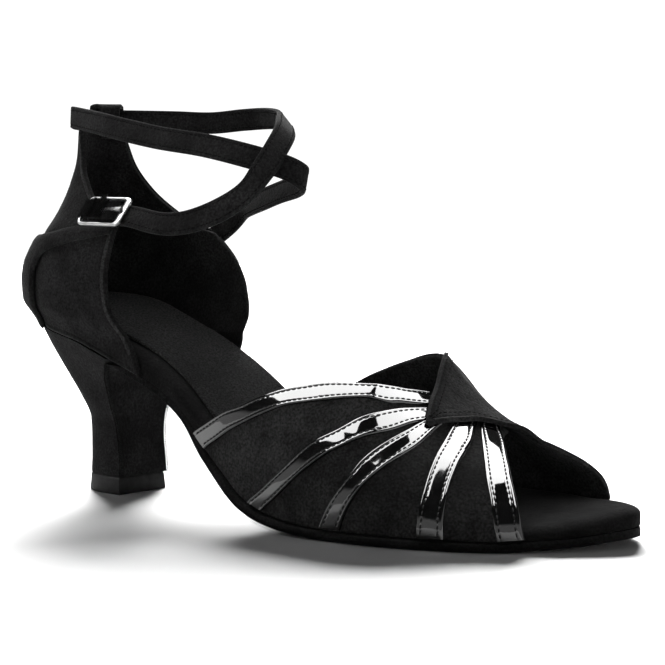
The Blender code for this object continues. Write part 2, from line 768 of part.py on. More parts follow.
# Patent strips, from the sole up to under the lapel. Columns: along and across places of the strip's back
# edge, then of its front edge.
STRIPS = (
    (
        (0.392, -0.995, 0.420, -0.995),
        (0.428, -0.922, 0.456, -0.921),
        (0.480, -0.800, 0.503, -0.804),
        (0.545, -0.640, 0.569, -0.661),
        (0.610, -0.512, 0.638, -0.553),
        (0.675, -0.405, 0.696, -0.438),
        (0.704, -0.302, 0.716, -0.343),
        (0.722, -0.175, 0.735, -0.235),
    ),
    (
        (0.518, -0.995, 0.548, -0.995),
        (0.553, -0.933, 0.579, -0.941),
        (0.588, -0.851, 0.620, -0.847),
        (0.625, -0.747, 0.655, -0.760),
        (0.668, -0.640, 0.688, -0.675),
        (0.700, -0.500, 0.722, -0.520),
        (0.722, -0.355, 0.741, -0.375),
        (0.741, -0.235, 0.752, -0.295),
    ),
    (
        (0.653, -0.995, 0.687, -0.995),
        (0.668, -0.928, 0.698, -0.925),
        (0.691, -0.828, 0.716, -0.816),
        (0.708, -0.712, 0.733, -0.714),
        (0.728, -0.559, 0.752, -0.580),
        (0.740, -0.450, 0.762, -0.450),
        (0.748, -0.335, 0.762, -0.275),
    ),
    (
        (0.793, -0.995, 0.827, -0.995),
        (0.794, -0.850, 0.825, -0.850),
        (0.794, -0.723, 0.823, -0.720),
        (0.791, -0.600, 0.820, -0.600),
        (0.787, -0.494, 0.816, -0.490),
        (0.781, -0.361, 0.805, -0.275),
        (0.770, -0.222, 0.782, -0.115),
        (0.762, -0.165, 0.772, -0.060),
    ),
    (
        (0.887, -0.995, 0.914, -0.995),
        (0.880, -0.820, 0.906, -0.788),
        (0.871, -0.678, 0.895, -0.626),
        (0.856, -0.531, 0.878, -0.454),
        (0.837, -0.381, 0.859, -0.314),
        (0.813, -0.234, 0.829, -0.140),
        (0.784, -0.096, 0.796, -0.025),
        (0.776, -0.065, 0.786, -0.008),
    ),
)


def patent_strip(number, rows, material):
    """One strip of the fan, laid on the outer half of the vamp."""
    rows = spline(rows, 16)
    t = np.linspace(0, 1, 4)
    share = rows[:, None, 0] * (1 - t) + rows[:, None, 2] * t
    across = rows[:, None, 1] * (1 - t) + rows[:, None, 3] * t
    crown = STRIP_THICKNESS * (STRIP_EDGE + (1 - STRIP_EDGE) * np.sqrt(np.sin(math.pi * t)))
    inner = vamp_point(place(share), across, STRIP_FACE)
    outer = vamp_point(place(share), across, STRIP_FACE + crown)
    return shell(f"patent_strip_{number}", outer, inner, material)


# Straps and buckle


def ribbon(name, centre, up, width, thickness, material):
    """A flat strap with rounded edges, swept along its centre line: up says which way its width lies."""
    centre = np.asarray(centre, float)
    along = np.gradient(centre, axis=0)
    along /= np.linalg.norm(along, axis=1)[:, None]
    up = np.broadcast_to(np.asarray(up, float), centre.shape)
    up = up - (up * along).sum(1)[:, None] * along
    up = up / np.linalg.norm(up, axis=1)[:, None]
    out = np.cross(along, up)
    half_u, half_v, corner = width / 2, thickness / 2, thickness * STRAP_CORNER
    profile = (
        (half_u - corner, -half_v),
        (half_u, corner - half_v),
        (half_u, half_v - corner),
        (half_u - corner, half_v),
        (corner - half_u, half_v),
        (-half_u, half_v - corner),
        (-half_u, corner - half_v),
        (corner - half_u, -half_v),
    )
    sections = [centre + u * up + v * out for u, v in profile]
    return loft(name, np.stack(sections, axis=1), material, 60)


# Where the strap starts on the inner ear. Columns: share of LAST_LENGTH, how far its middle lies below
# EAR_TOP as a share of STRAP_WIDTH, lean in degrees.
STRAP_EAR = (
    (0.130, 0.62, 0),
    (0.170, 0.35, 0),
    (0.222, -0.30, 0),
)

# Centre line of the ankle strap from the inner ear round the front, then back past the outer side.
# Columns: x as a share of ANKLE_LENGTH, y as a share of ANKLE_WIDTH, height as a share of TAB_TOP, and the
# degrees by which the strap's upper edge leans in over the ankle.
STRAP_FIRST = (
    (0.325, 0.465, 0.757, 0),
    (0.430, 0.300, 0.768, 0),
    (0.565, 0.100, 0.778, -5),
    (0.700, -0.060, 0.793, -10),
    (0.810, -0.160, 0.806, -10),
    (0.858, -0.245, 0.820, -8),
    (0.836, -0.340, 0.844, 0),
    (0.745, -0.420, 0.870, 10),
    (0.590, -0.465, 0.901, 20),
    (0.410, -0.470, 0.925, 20),
    (0.235, -0.430, 0.953, 15),
    (0.090, -0.350, 0.976, 5),
)

# Then from the tab forward along the inner side, across the front and down the outer side to the buckle.
STRAP_SECOND = (
    (0.065, 0.375, 0.996, 0),
    (0.200, 0.430, 0.989, 5),
    (0.340, 0.425, 0.992, 15),
    (0.475, 0.345, 0.989, 25),
    (0.610, 0.170, 0.976, 35),
    (0.705, -0.040, 0.957, 45),
    (0.775, -0.215, 0.930, 48),
    (0.808, -0.370, 0.887, 40),
    (0.812, -0.490, 0.836, 26),
    (0.772, -0.565, 0.779, 14),
    (0.675, -0.615, 0.735, 2),
    (0.545, -0.635, 0.711, 0),
    (0.430, -0.627, 0.718, 15),
)

# The strap's last places, along the buckle from its front: shares of half of BUCKLE_LENGTH.
STRAP_END = (1.5, 1.0, 0.5, 0.0)
# Over this share of the strap's length, near its end, it turns from its own lean to the buckle's.
TURN_START, TURN_LENGTH = 0.87, 0.075


def lean_in(path, degrees):
    """The direction of a strap's width: upright, then leaning in over the ankle by the given degrees."""
    along = np.gradient(path, axis=0)
    inward = np.stack([along[:, 1], -along[:, 0], np.zeros(len(path))], axis=1)
    inward /= np.linalg.norm(inward, axis=1)[:, None]
    turn = np.radians(degrees)[:, None]
    return np.array([0, 0, 1.0]) * np.cos(turn) + inward * np.sin(turn)


def laid_on_cup(arc, level, depth):
    """Middle of an upright strap whose lower edge lies against the cup: the wall leans in above it."""
    points = cup_point(arc, level - STRAP_WIDTH / 2, depth)
    points[:, 2] = level
    return points


def strap_line(samples=98):
    """Centre line and width direction of the ankle strap. Behind the tab it follows the cup's own wall."""
    size = np.array([ANKLE_LENGTH, ANKLE_WIDTH, TAB_TOP, 1])
    half = STRAP_THICKNESS / 2
    ear_level = EAR_TOP - np.array(column(STRAP_EAR, 1)) * STRAP_WIDTH
    ear = laid_on_cup(EDGE.arc_at(place(column(STRAP_EAR, 0)), 1), ear_level, BAND_FACE + half)
    behind_arcs = np.linspace(-TAB_REACH_OUTER, TAB_REACH_INNER, 11)
    behind = laid_on_cup(behind_arcs, np.full(11, STRAP_LEVEL), CUP_FACE + OVERLAY_GAP - GAP + half)
    centre, along, up, out = buckle_axes()
    line = centre - out * (BUCKLE_WIRE / 2 + GAP + half)
    bar = BUCKLE_LENGTH / 2 - BUCKLE_WIRE - TAB_THICKNESS - 3 * GAP
    steps = np.append(np.array(STRAP_END) * BUCKLE_LENGTH / 2, -bar)
    end = line + steps[:, None] * along
    rows = [
        np.column_stack([ear, column(STRAP_EAR, 2)]),
        np.array(STRAP_FIRST) * size,
        np.column_stack([behind, np.zeros(11)]),
        np.array(STRAP_SECOND) * size,
        np.column_stack([end, np.zeros(5)]),
    ]
    path = spline(np.concatenate(rows), samples, measured=3)
    turn = np.clip((np.linspace(0, 1, samples) - TURN_START) / TURN_LENGTH, 0, 1)[:, None]
    return path[:, :3], lean_in(path[:, :3], path[:, 3]) * (1 - turn) + up * turn


def ankle_strap(material):
    """The long strap: inner ear, round the front, behind the tab, round the front again, buckle."""
    path, up = strap_line()
    return ribbon("ankle_strap", path, up, STRAP_WIDTH, STRAP_THICKNESS, material)


def strap_loop(material):
    """The loop on the tab: up outside the strap, over the tab's edge and down inside it."""
    half = LOOP_THICKNESS / 2
    top = STRAP_LEVEL + STRAP_WIDTH / 2
    low = STRAP_LEVEL - STRAP_WIDTH / 2
    outside = CUP_FACE + OVERLAY_GAP + STRAP_THICKNESS + half
    over = top + 2 * GAP + half
    path = (
        (CUP_FACE + half, low - LOOP_DROP_OUTSIDE),
        (CUP_FACE + half, low - GAP - LOOP_THICKNESS - GAP),
        (outside, low - GAP),
        (outside, top),
        (outside - half, over),
        (QUARTER_WALL / 2, over),
        (-GAP - half, top - LOOP_BEND),
        (-GAP - half, TAB_TOP - LOOP_DROP_INSIDE),
    )
    path = np.array(path)
    along = np.gradient(path, axis=0)
    along /= np.linalg.norm(along, axis=1)[:, None]
    side = np.stack([-along[:, 1], along[:, 0]], axis=1) * half
    outline = np.concatenate([path + side, (path - side)[::-1]])
    depth, height = outline[:, 0], outline[:, 1]
    sections = []
    for arc in np.linspace(LOOP_START, LOOP_END, 9):
        at = cup_point(np.full(len(outline), arc), np.minimum(height, low), depth)
        sections.append(stack(at[:, 0], at[:, 1], height))
    return loft("strap_loop", sections, material)


# The buckle's centre as shares of ANKLE_LENGTH, ANKLE_WIDTH and TAB_TOP, and the directions of its length
# and of its width.
BUCKLE_PLACE = (0.249, -0.603, 0.745)
BUCKLE_HEADING = (1.0, -0.09, -0.03)
BUCKLE_UP = (0.36, 0.55, 0.80)


def buckle_axes():
    """Centre, direction along the strap, direction across it and outward direction of the buckle."""
    centre = np.array(BUCKLE_PLACE) * np.array([ANKLE_LENGTH, ANKLE_WIDTH, TAB_TOP])
    along = np.array(BUCKLE_HEADING) / np.linalg.norm(BUCKLE_HEADING)
    up = np.array(BUCKLE_UP) - np.dot(BUCKLE_UP, along) * along
    up /= np.linalg.norm(up)
    return centre, along, up, np.cross(along, up)


# Points round the frame and sides of its wire.
FRAME_POINTS = 40
WIRE_SIDES = 6


def buckle_frame(metal):
    """The buckle's rectangular wire frame."""
    centre, along, up, out = buckle_axes()
    length = BUCKLE_LENGTH - BUCKLE_WIRE
    height = STRAP_WIDTH + 2 * BUCKLE_CLEARANCE + BUCKLE_WIRE
    turns = np.linspace(0, math.pi / 2, 5)
    path = []
    for i, (u, v) in enumerate(((1, 1), (-1, 1), (-1, -1), (1, -1))):
        middle = np.array([u * (length / 2 - BUCKLE_CORNER), v * (height / 2 - BUCKLE_CORNER)])
        for turn in i * math.pi / 2 + turns:
            path.append(middle + BUCKLE_CORNER * np.array([math.cos(turn), math.sin(turn)]))
    path = resample(np.array(path + path[:1]), FRAME_POINTS, closed=True)
    tangent = np.roll(path, -1, axis=0) - np.roll(path, 1, axis=0)
    tangent /= np.linalg.norm(tangent, axis=1)[:, None]
    verts = []
    angles = np.linspace(0, 2 * math.pi, WIRE_SIDES, endpoint=False)
    for (u, v), (tu, tv) in zip(path, tangent):
        for angle in angles:
            flat = math.cos(angle) * BUCKLE_WIRE / 2
            deep = math.sin(angle) * BUCKLE_WIRE / 2
            verts.append(centre + along * (u + tv * flat) + up * (v - tu * flat) + out * deep)
    faces = grid_faces(FRAME_POINTS + 1, WIRE_SIDES, wrap=True)
    faces = [tuple(index % len(verts) for index in face) for face in faces]
    return mesh_object("buckle_frame", verts, faces, metal, 60)


# The prong's places. Columns: share of the way from the buckle's middle to its back bar (negative) or its
# front bar, height as a share of the height at which it rests on the front bar.
PRONG = (
    (-1.0, 0.10),
    (-0.5, 0.25),
    (0.42, 0.80),
    (1.0, 1.00),
)


def buckle_prong(metal):
    """The prong: from the buckle's back bar over the strap to its front bar."""
    centre, along, up, out = buckle_axes()
    back = BUCKLE_LENGTH / 2 - BUCKLE_WIRE - TAB_THICKNESS - 3 * GAP
    front = (BUCKLE_LENGTH - BUCKLE_WIRE) / 2
    over = BUCKLE_WIRE / 2 + GAP + PRONG_THICKNESS / 2
    reach = [back if share < 0 else front for share, _ in PRONG]
    points = [
        centre + along * share * far + out * over * rise for (share, rise), far in zip(PRONG, reach)
    ]
    return ribbon("buckle_prong", spline(points, 9), out, PRONG_WIDTH, PRONG_THICKNESS, metal)


def buckle_tab(material):
    """The short strap on the outer ear, folded round the buckle's back bar."""
    centre, along, up, out = buckle_axes()
    bar = centre - along * (BUCKLE_LENGTH - BUCKLE_WIRE) / 2
    radius = BUCKLE_WIRE / 2 + GAP + TAB_THICKNESS / 2
    end = radius * TAB_CLOSING
    path = [bar - along * TAB_LENGTH + out * end, bar - along * TAB_LENGTH / 2 + out * radius]
    for degrees in range(90, -91, -30):
        turn = math.radians(degrees)
        path.append(bar + along * radius * math.cos(turn) + out * radius * math.sin(turn))
    path += [bar - along * TAB_LENGTH / 2 - out * radius, bar - along * TAB_LENGTH - out * end]
    return ribbon("buckle_tab", spline(path, 26), up, TAB_WIDTH, TAB_THICKNESS, material)


def material(name, colour, roughness, metallic=0.0):
    made = bpy.data.materials.new(name)
    made.use_nodes = True
    surface = made.node_tree.nodes["Principled BSDF"]
    surface.inputs["Base Color"].default_value = (*colour, 1)
    surface.inputs["Roughness"].default_value = roughness
    surface.inputs["Metallic"].default_value = metallic
    return made


def clear_scene():
    for thing in list(bpy.data.objects):
        bpy.data.objects.remove(thing)


def main():
    """Builds every part of the shoe."""
    clear_scene()
    suede = material("black_suede", (0.012, 0.012, 0.012), 0.95)
    sole_suede = material("sole_suede", (0.015, 0.015, 0.015), 1.0)
    rubber = material("tip_plastic", (0.01, 0.01, 0.01), 0.5)
    felt = material("sock_felt", (0.04, 0.04, 0.042), 0.9)
    patent = material("patent", (0.008, 0.008, 0.008), 0.08)
    metal = material("buckle_metal", (0.8, 0.8, 0.8), 0.15, 1.0)
    insole_board(suede)
    insole_sock(felt)
    heel_block(suede)
    heel_tip(rubber)
    outsole(sole_suede)
    quarter(suede)
    counter(suede)
    vamp_outer(suede)
    vamp_inner(suede)
    for number, rows in enumerate(STRIPS, 1):
        patent_strip(number, rows, patent)
    ankle_strap(suede)
    strap_loop(suede)
    buckle_frame(metal)
    buckle_prong(metal)
    buckle_tab(suede)


main()
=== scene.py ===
"""Ballroom dance sandal for the right foot: the fine surfaces, materials, light and camera.

The forms follow the same named sizes and tables as the part itself, with finer steps, rolled edges,
stitches, fibres and creases. Lengths are in metres, toe along +X, inner side of the foot along +Y.
"""

import math

import bmesh
import bpy
import numpy as np
from mathutils import Matrix, Vector


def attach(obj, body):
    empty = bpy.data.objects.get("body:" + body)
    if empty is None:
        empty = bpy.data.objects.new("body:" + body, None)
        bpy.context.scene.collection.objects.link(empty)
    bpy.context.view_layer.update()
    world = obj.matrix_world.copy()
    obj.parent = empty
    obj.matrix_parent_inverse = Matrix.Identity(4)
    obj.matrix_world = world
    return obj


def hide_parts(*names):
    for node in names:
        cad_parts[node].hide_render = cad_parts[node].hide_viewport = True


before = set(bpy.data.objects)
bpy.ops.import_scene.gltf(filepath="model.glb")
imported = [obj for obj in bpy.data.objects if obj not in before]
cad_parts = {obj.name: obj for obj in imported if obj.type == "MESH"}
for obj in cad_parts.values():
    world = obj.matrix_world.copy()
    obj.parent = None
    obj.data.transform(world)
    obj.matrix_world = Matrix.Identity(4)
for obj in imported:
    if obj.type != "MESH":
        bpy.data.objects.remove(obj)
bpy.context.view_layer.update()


def ease(t):
    """Passes from 0 to 1 with a soft start and end."""
    return t * t * (3 - 2 * t)


def unit(vectors):
    return vectors / np.maximum(np.linalg.norm(vectors, axis=-1, keepdims=True), 1e-12)


def bell(distance, width):
    """1 in the middle, falling off softly on both sides."""
    return np.exp(-((distance / width) ** 2))


def drawn(wave, power):
    """A sine or cosine whose curve is drawn out towards a box, for a power below 1."""
    return np.sign(wave) * np.abs(wave) ** power


def lengths(points):
    """How far along the line of points each of them lies."""
    return np.concatenate([[0], np.cumsum(np.linalg.norm(np.diff(points, axis=0), axis=1))])


def between(at, keys, rows):
    """Rows at the places between the keys."""
    return np.stack([np.interp(at, keys, rows[:, k]) for k in range(rows.shape[1])], axis=1)


MM = 0.001
GAP = 0.3 * MM

# Driving sizes of the last: the form that the shoe is built on.
LAST_LENGTH = 240 * MM
BALL_WIDTH = 77 * MM
SEAT_SETBACK = 26 * MM
SEAT_HEIGHT = 60.5 * MM
TOE_SPRING = 3.2 * MM
INSTEP_HEIGHT = 50 * MM

# Bottom parts.
OUTSOLE_THICKNESS = 2.8 * MM
OUTSOLE_MARGIN = 2.4 * MM
BOARD_THICKNESS = 5.4 * MM
SHANK_THICKNESS = 5.2 * MM
BOARD_EDGE_RADIUS = 3.4 * MM
BOARD_EDGE_SHARE = 0.7
FOOTBED_CANT = 3.2 * MM
SOCK_THICKNESS = 1.2 * MM
SOCK_INSET = 5.0 * MM
SOCK_END = 0.74
SOLE_TURN = 6.0 * MM

# Heel block and its tip.
TIP_THICKNESS = 6.5 * MM
TIP_WIDTH = 25.0 * MM
TIP_LENGTH = 24.0 * MM
TIP_MARGIN = 0.5 * MM
BREAST_LENGTH = 46.0 * MM
BREAST_SHEET = 1.4 * MM
TIP_ROUNDNESS = 2.35
SEAT_ROUNDNESS = 2.70

# Heel cup (quarter), its high back tab and the counter laid round it.
QUARTER_WALL = 2.2 * MM
TAB_TOP = 141 * MM
EAR_TOP = 98 * MM
CUP_BULGE = 8.0 * MM
CUP_FOOT = 11.0 * MM
CUP_SPAN = 0.215
COUNTER_WALL = 2.0 * MM
COUNTER_RIM = 0.4 * MM
BAND_END = 0.9
OVERLAY_GAP = 0.7 * MM

# Vamp, its crossover lapel and the patent strips on its outer side.
VAMP_WALL = 1.4 * MM
VAMP_ROUNDNESS = 2.3
INNER_ROUNDNESS = 3.05
LAPEL_LIFTED = 0.01
LAPEL_LOW = 0.17
STRIP_THICKNESS = 0.8 * MM

# Ankle strap, its loop on the tab, and the buckle.
STRAP_WIDTH = 8.2 * MM
STRAP_THICKNESS = 1.9 * MM
ANKLE_LENGTH = 120 * MM
ANKLE_WIDTH = 60 * MM
TAB_REACH_OUTER = 22.0 * MM
TAB_REACH_INNER = 26.0 * MM
LOOP_THICKNESS = 1.4 * MM
LOOP_START = 5.0 * MM
LOOP_END = 24.0 * MM
LOOP_DROP_OUTSIDE = 5.0 * MM
LOOP_DROP_INSIDE = 7.0 * MM
LOOP_BEND = 1.2 * MM
BUCKLE_WIRE = 1.5 * MM
BUCKLE_LENGTH = 23.0 * MM
BUCKLE_CORNER = 2.2 * MM
BUCKLE_CLEARANCE = 0.4 * MM
PRONG_THICKNESS = 1.2 * MM
PRONG_WIDTH = 1.44 * MM
TAB_THICKNESS = 1.0 * MM
TAB_WIDTH = 6.4 * MM
TAB_LENGTH = 3.4 * MM
TAB_CLOSING = 0.9

# Fits that follow from the sizes above.
CUP_FACE = GAP + QUARTER_WALL
HEEL_MARGIN = CUP_FACE
COUNTER_FACE = QUARTER_WALL + OVERLAY_GAP
BAND_FACE = COUNTER_FACE + COUNTER_WALL + OVERLAY_GAP
STRIP_FACE = VAMP_WALL + GAP
LAPEL_FACE = STRIP_FACE + STRIP_THICKNESS + GAP
STRAP_LEVEL = TAB_TOP

# Edge of the insole board seen from above, as a closed curve down one side and back up the other.
# Columns: share of LAST_LENGTH from the back, outer edge and inner edge as shares of BALL_WIDTH.
OUTLINE = (
    (0, 0, 0), (0.01, -0.143, 0.143), (0.048, -0.266, 0.266), (0.104, -0.318, 0.318), (0.192, -0.318, 0.31),
    (0.296, -0.325, 0.29), (0.4, -0.39, 0.288), (0.504, -0.461, 0.357), (0.608, -0.5, 0.442),
    (0.7, -0.494, 0.494), (0.783, -0.44, 0.5), (0.871, -0.325, 0.468), (0.942, -0.156, 0.39),
    (0.983, 0.013, 0.29), (1, 0.156, 0.156),
)

# Underside of the insole board, from the seat down the shank to the ball and up to the toe.
# Columns: share of LAST_LENGTH, share of SEAT_HEIGHT, share of TOE_SPRING, share of SHANK_THICKNESS.
BOTTOM = (
    (0, 1, 0, 1), (0.045, 0.969, 0, 1), (0.119, 0.912, 0, 1), (0.158, 0.861, 0, 1), (0.213, 0.78, 0, 1),
    (0.263, 0.706, 0, 1), (0.321, 0.602, 0, 0.9), (0.363, 0.502, 0, 0.9), (0.408, 0.36, 0, 1),
    (0.458, 0.22, 0, 0.9), (0.504, 0.1, 0, 0.6), (0.55, 0.04, 0, 0.3), (0.608, 0.008, 0, 0.1),
    (0.667, 0, 0, 0), (0.88, 0, 0, 0), (0.921, 0, 0.25, 0), (0.963, 0, 0.55, 0), (1, 0, 1, 0),
)

# Top line of the foot under the vamp.
# Columns: share of LAST_LENGTH, sideways place as a share of BALL_WIDTH, height as a share of INSTEP_HEIGHT.
RIDGE = (
    (0.36, 0.09, 1.3), (0.48, 0.11, 1.24), (0.6, 0.14, 1.1), (0.68, 0.16, 0.945), (0.73, 0.17, 0.7),
    (0.79, 0.17, 0.5), (0.86, 0.19, 0.37), (0.95, 0.22, 0.29),
)


def smooth(keys, values, at):
    """Reads a curve through the values at any place: it never swings past them."""
    keys, values, at = (np.asarray(a, float) for a in (keys, values, at))
    rise = np.diff(values) / np.diff(keys)
    slopes = np.concatenate([rise[:1], np.zeros(len(keys) - 2), rise[-1:]])
    for i in range(1, len(keys) - 1):
        if rise[i - 1] * rise[i] > 0:
            slopes[i] = 2 * rise[i - 1] * rise[i] / (rise[i - 1] + rise[i])
    i = np.clip(np.searchsorted(keys, at, side="right") - 1, 0, len(keys) - 2)
    step = keys[i + 1] - keys[i]
    t = np.clip((at - keys[i]) / step, 0, 1)
    start, end = values[i], values[i + 1]
    return (
        (2 * t**3 - 3 * t**2 + 1) * start
        + (3 * t**2 - 2 * t**3) * end
        + (t**3 - 2 * t**2 + t) * step * slopes[i]
        + (t**3 - t**2) * step * slopes[i + 1]
    )


def column(table, index):
    return [row[index] for row in table]


def curve(table, index, at):
    """Reads one column of a table at any place of its first column."""
    return smooth(column(table, 0), column(table, index), at)


def spline(points, samples, closed=False, measured=None):
    """Points of a Catmull-Rom curve through the given points, evenly spaced along it."""
    points = np.asarray(points, float)
    count = len(points)
    if closed:
        ring = np.concatenate([points[-1:], points, points[:2]])
    else:
        first, last = 2 * points[0] - points[1], 2 * points[-1] - points[-2]
        ring = np.concatenate([[first], points, [last]])
        count -= 1
    t = np.linspace(0, 1, 24, endpoint=False)[:, None]
    pieces = []
    for i in range(count):
        a, b, c, d = ring[i : i + 4]
        pieces.append(
            0.5 * (2 * b + (c - a) * t + (2 * a - 5 * b + 4 * c - d) * t**2 + (3 * b - a - 3 * c + d) * t**3)
        )
    fine = np.concatenate(pieces + [ring[count + 1 : count + 2]])
    return resample(fine, samples, closed, measured)


def resample(points, samples, closed=False, measured=None):
    """The same line with its points evenly spaced, by the length of its first columns or of all of them."""
    along = lengths(points[:, :measured])
    return between(np.linspace(0, along[-1], samples, endpoint=not closed), along, points)


def place(share):
    """The x of a share of the last's length."""
    return LAST_LENGTH * np.asarray(share, float) - SEAT_SETBACK


def share_of(x):
    return (np.asarray(x, float) + SEAT_SETBACK) / LAST_LENGTH


class Edge:
    """The board's edge seen from above, read by its arc length from the back of the heel."""

    def __init__(self):
        outer = [(place(s), y * BALL_WIDTH) for s, y, _ in OUTLINE]
        inner = [(place(s), y * BALL_WIDTH) for s, _, y in OUTLINE[-2:0:-1]]
        self.points = spline(outer + inner, 960, closed=True)
        ahead, behind = np.roll(self.points, -1, axis=0), np.roll(self.points, 1, axis=0)
        along = unit(ahead - behind)
        self.normals = np.stack([along[:, 1], -along[:, 0]], axis=1)
        self.length = np.linalg.norm(ahead - self.points, axis=1).sum()
        self.toe = int(np.argmax(self.points[:, 0]))

    def read(self, array, arc):
        """arc is negative down the outer side of the foot and positive down the inner side."""
        at = (-np.asarray(arc, float) / self.length % 1) * len(array)
        low = np.floor(at).astype(int) % len(array)
        t = (at - np.floor(at))[..., None]
        return array[low] * (1 - t) + array[(low + 1) % len(array)] * t

    def point(self, arc):
        return self.read(self.points, arc)

    def normal(self, arc):
        return unit(self.read(self.normals, arc))

    def arc_at(self, x, side):
        """The arc length at which one side (-1 outer, 1 inner) passes x."""
        step = self.length / len(self.points)
        if side < 0:
            return -np.interp(x, self.points[: self.toe, 0], np.arange(self.toe) * step)
        back = np.concatenate([self.points[self.toe :], self.points[:1]])[::-1, 0]
        return np.interp(x, back, np.arange(len(back)) * step)

    def across(self, x, side, margin=0.0):
        """The y of one side at x, moved out by margin."""
        arc = self.arc_at(x, side)
        return self.point(arc)[..., 1] + self.normal(arc)[..., 1] * margin


EDGE = Edge()


def board_bottom(x, y=0.0):
    """Height of the insole board's underside, which is level from side to side."""
    share = share_of(x)
    rise = curve(BOTTOM, 1, share) * SEAT_HEIGHT
    spring = curve(BOTTOM, 2, share) * TOE_SPRING
    return OUTSOLE_THICKNESS + GAP + rise + spring


def board_top(x, y=0.0):
    """Height of its upper face, which is a little higher on the inner side of the foot."""
    thick = BOARD_THICKNESS + SHANK_THICKNESS * curve(BOTTOM, 3, share_of(x))
    return board_bottom(x) + thick + FOOTBED_CANT * np.asarray(y) * 2 / BALL_WIDTH


def grid_faces(rows, cols, start=0, flip=False, wrap=False):
    """Quads between neighbouring points of a grid that is stored row by row."""
    faces = []
    for i in range(rows - 1):
        for j in range(cols if wrap else cols - 1):
            k = (j + 1) % cols
            low = start + i * cols
            quad = (low + j, low + k, low + cols + k, low + cols + j)
            faces.append(quad[::-1] if flip else quad)
    return faces


def shell(name, outer, inner, material):
    """A closed wall between two grids of the same size."""
    rows, cols = outer.shape[:2]
    count = rows * cols
    verts = np.concatenate([outer.reshape(-1, 3), inner.reshape(-1, 3)])
    faces = grid_faces(rows, cols) + grid_faces(rows, cols, count, flip=True)
    border = (
        [(0, j) for j in range(cols)]
        + [(i, cols - 1) for i in range(1, rows)]
        + [(rows - 1, j) for j in range(cols - 2, -1, -1)]
        + [(i, 0) for i in range(rows - 2, 0, -1)]
    )
    index = [i * cols + j for i, j in border]
    for a, b in zip(index, index[1:] + index[:1]):
        faces.append((a, b, b + count, a + count))
    return mesh_object(name, verts, faces, material)


def loft(name, sections, material, smooth_angle=40):
    """A closed tube through sections with the same number of points, capped at both ends."""
    sections = np.asarray(sections)
    faces = tube_faces(*sections.shape[:2])
    return mesh_object(name, sections.reshape(-1, 3), faces, material, smooth_angle)


def stack(x, y, z):
    return np.stack(np.broadcast_arrays(x, y, z), axis=-1).astype(float)


def rings_solid(name, rings, material):
    """A closed body from closed rings, stacked from inside one face round the edge to inside the other.

    The first and last rings are closed straight across, each point to the one opposite.
    """
    rings = np.asarray(rings)
    rows, cols = rings.shape[:2]
    faces = grid_faces(rows, cols, wrap=True)
    for start, flip in ((0, True), ((rows - 1) * cols, False)):
        for i in range(cols // 2):
            face = (start + i, start + i + 1, start + cols - i - 1, start + (cols - i) % cols)
            face = tuple(dict.fromkeys(face))
            faces.append(face[::-1] if flip else face)
    return mesh_object(name, rings.reshape(-1, 3), faces, material)


def edge_ring(arcs, inset, height):
    """A ring moved in from the board's edge, at a height given as a function of x."""
    at = EDGE.point(arcs) - EDGE.normal(arcs) * inset
    return stack(at[:, 0], at[:, 1], height(at[:, 0], at[:, 1]))


# Where the middle line that a ring shrinks towards starts and ends, as shares of LAST_LENGTH.
SPINE_BACK, SPINE_FRONT = 0.09, 0.91


def spine_of(x):
    """The point on the middle line of the sole that a point near its edge shrinks towards."""
    at = np.clip(x, place(SPINE_BACK), place(SPINE_FRONT))
    middle = (EDGE.across(at, -1) + EDGE.across(at, 1)) / 2
    return at, middle


def shrink(ring, share, height):
    """The ring drawn towards the middle line: share 1 leaves it, and 0 folds it onto the line."""
    middle_x, middle_y = spine_of(ring[:, 0])
    x = middle_x + (ring[:, 0] - middle_x) * share
    y = middle_y + (ring[:, 1] - middle_y) * share
    return stack(x, y, height(x, y))


def board_edge(x, y, fall):
    """Height on the board's rounded edge: fall is 0 on the upper face and 1 where the edge is upright."""
    top = board_top(x, y)
    return top - fall * np.minimum(BOARD_EDGE_RADIUS, BOARD_EDGE_SHARE * (top - board_bottom(x)))


# Section of the heel by height. Columns: height share from the tip to the seat; the breast's place as a
# share of the way from the tip's front to the seat's front; half width as a share of the way from the tip's
# to the seat's; reach behind the tip's centre as a share of the way from the tip's back to the seat's back.
HEEL = (
    (0, 0, 0, 0), (0.1, -0.02, -0.02, -0.02), (0.25, -0.1, -0.03, -0.03), (0.4, -0.17, 0.03, -0.05),
    (0.55, -0.2, 0.19, 0.16), (0.7, -0.17, 0.35, 0.51), (0.8, 0, 0.5, 0.73), (0.9, 0.4, 0.72, 0.9),
    (1, 1, 1, 1),
)


def heel_sizes(share):
    """The breast's x, the half width and the reach behind the origin, by height share."""
    top_x = BREAST_LENGTH - SEAT_SETBACK
    tip_x = TIP_LENGTH / 2 - TIP_MARGIN
    top_half = (EDGE.across(top_x, 1) - EDGE.across(top_x, -1)) / 2 + HEEL_MARGIN
    tip_half = TIP_WIDTH / 2 - TIP_MARGIN
    front = tip_x + (top_x - tip_x) * curve(HEEL, 1, share)
    half = tip_half + (top_half - tip_half) * curve(HEEL, 2, share)
    back = tip_x + (SEAT_SETBACK + HEEL_MARGIN + COUNTER_WALL - tip_x) * curve(HEEL, 3, share)
    return front, half, back


def heel_height(share, x):
    """Height of the heel's surface: level at the tip, and along the board at the seat."""
    bottom = TIP_THICKNESS + GAP
    top = board_bottom(x) - GAP
    return bottom + (top - bottom) * share


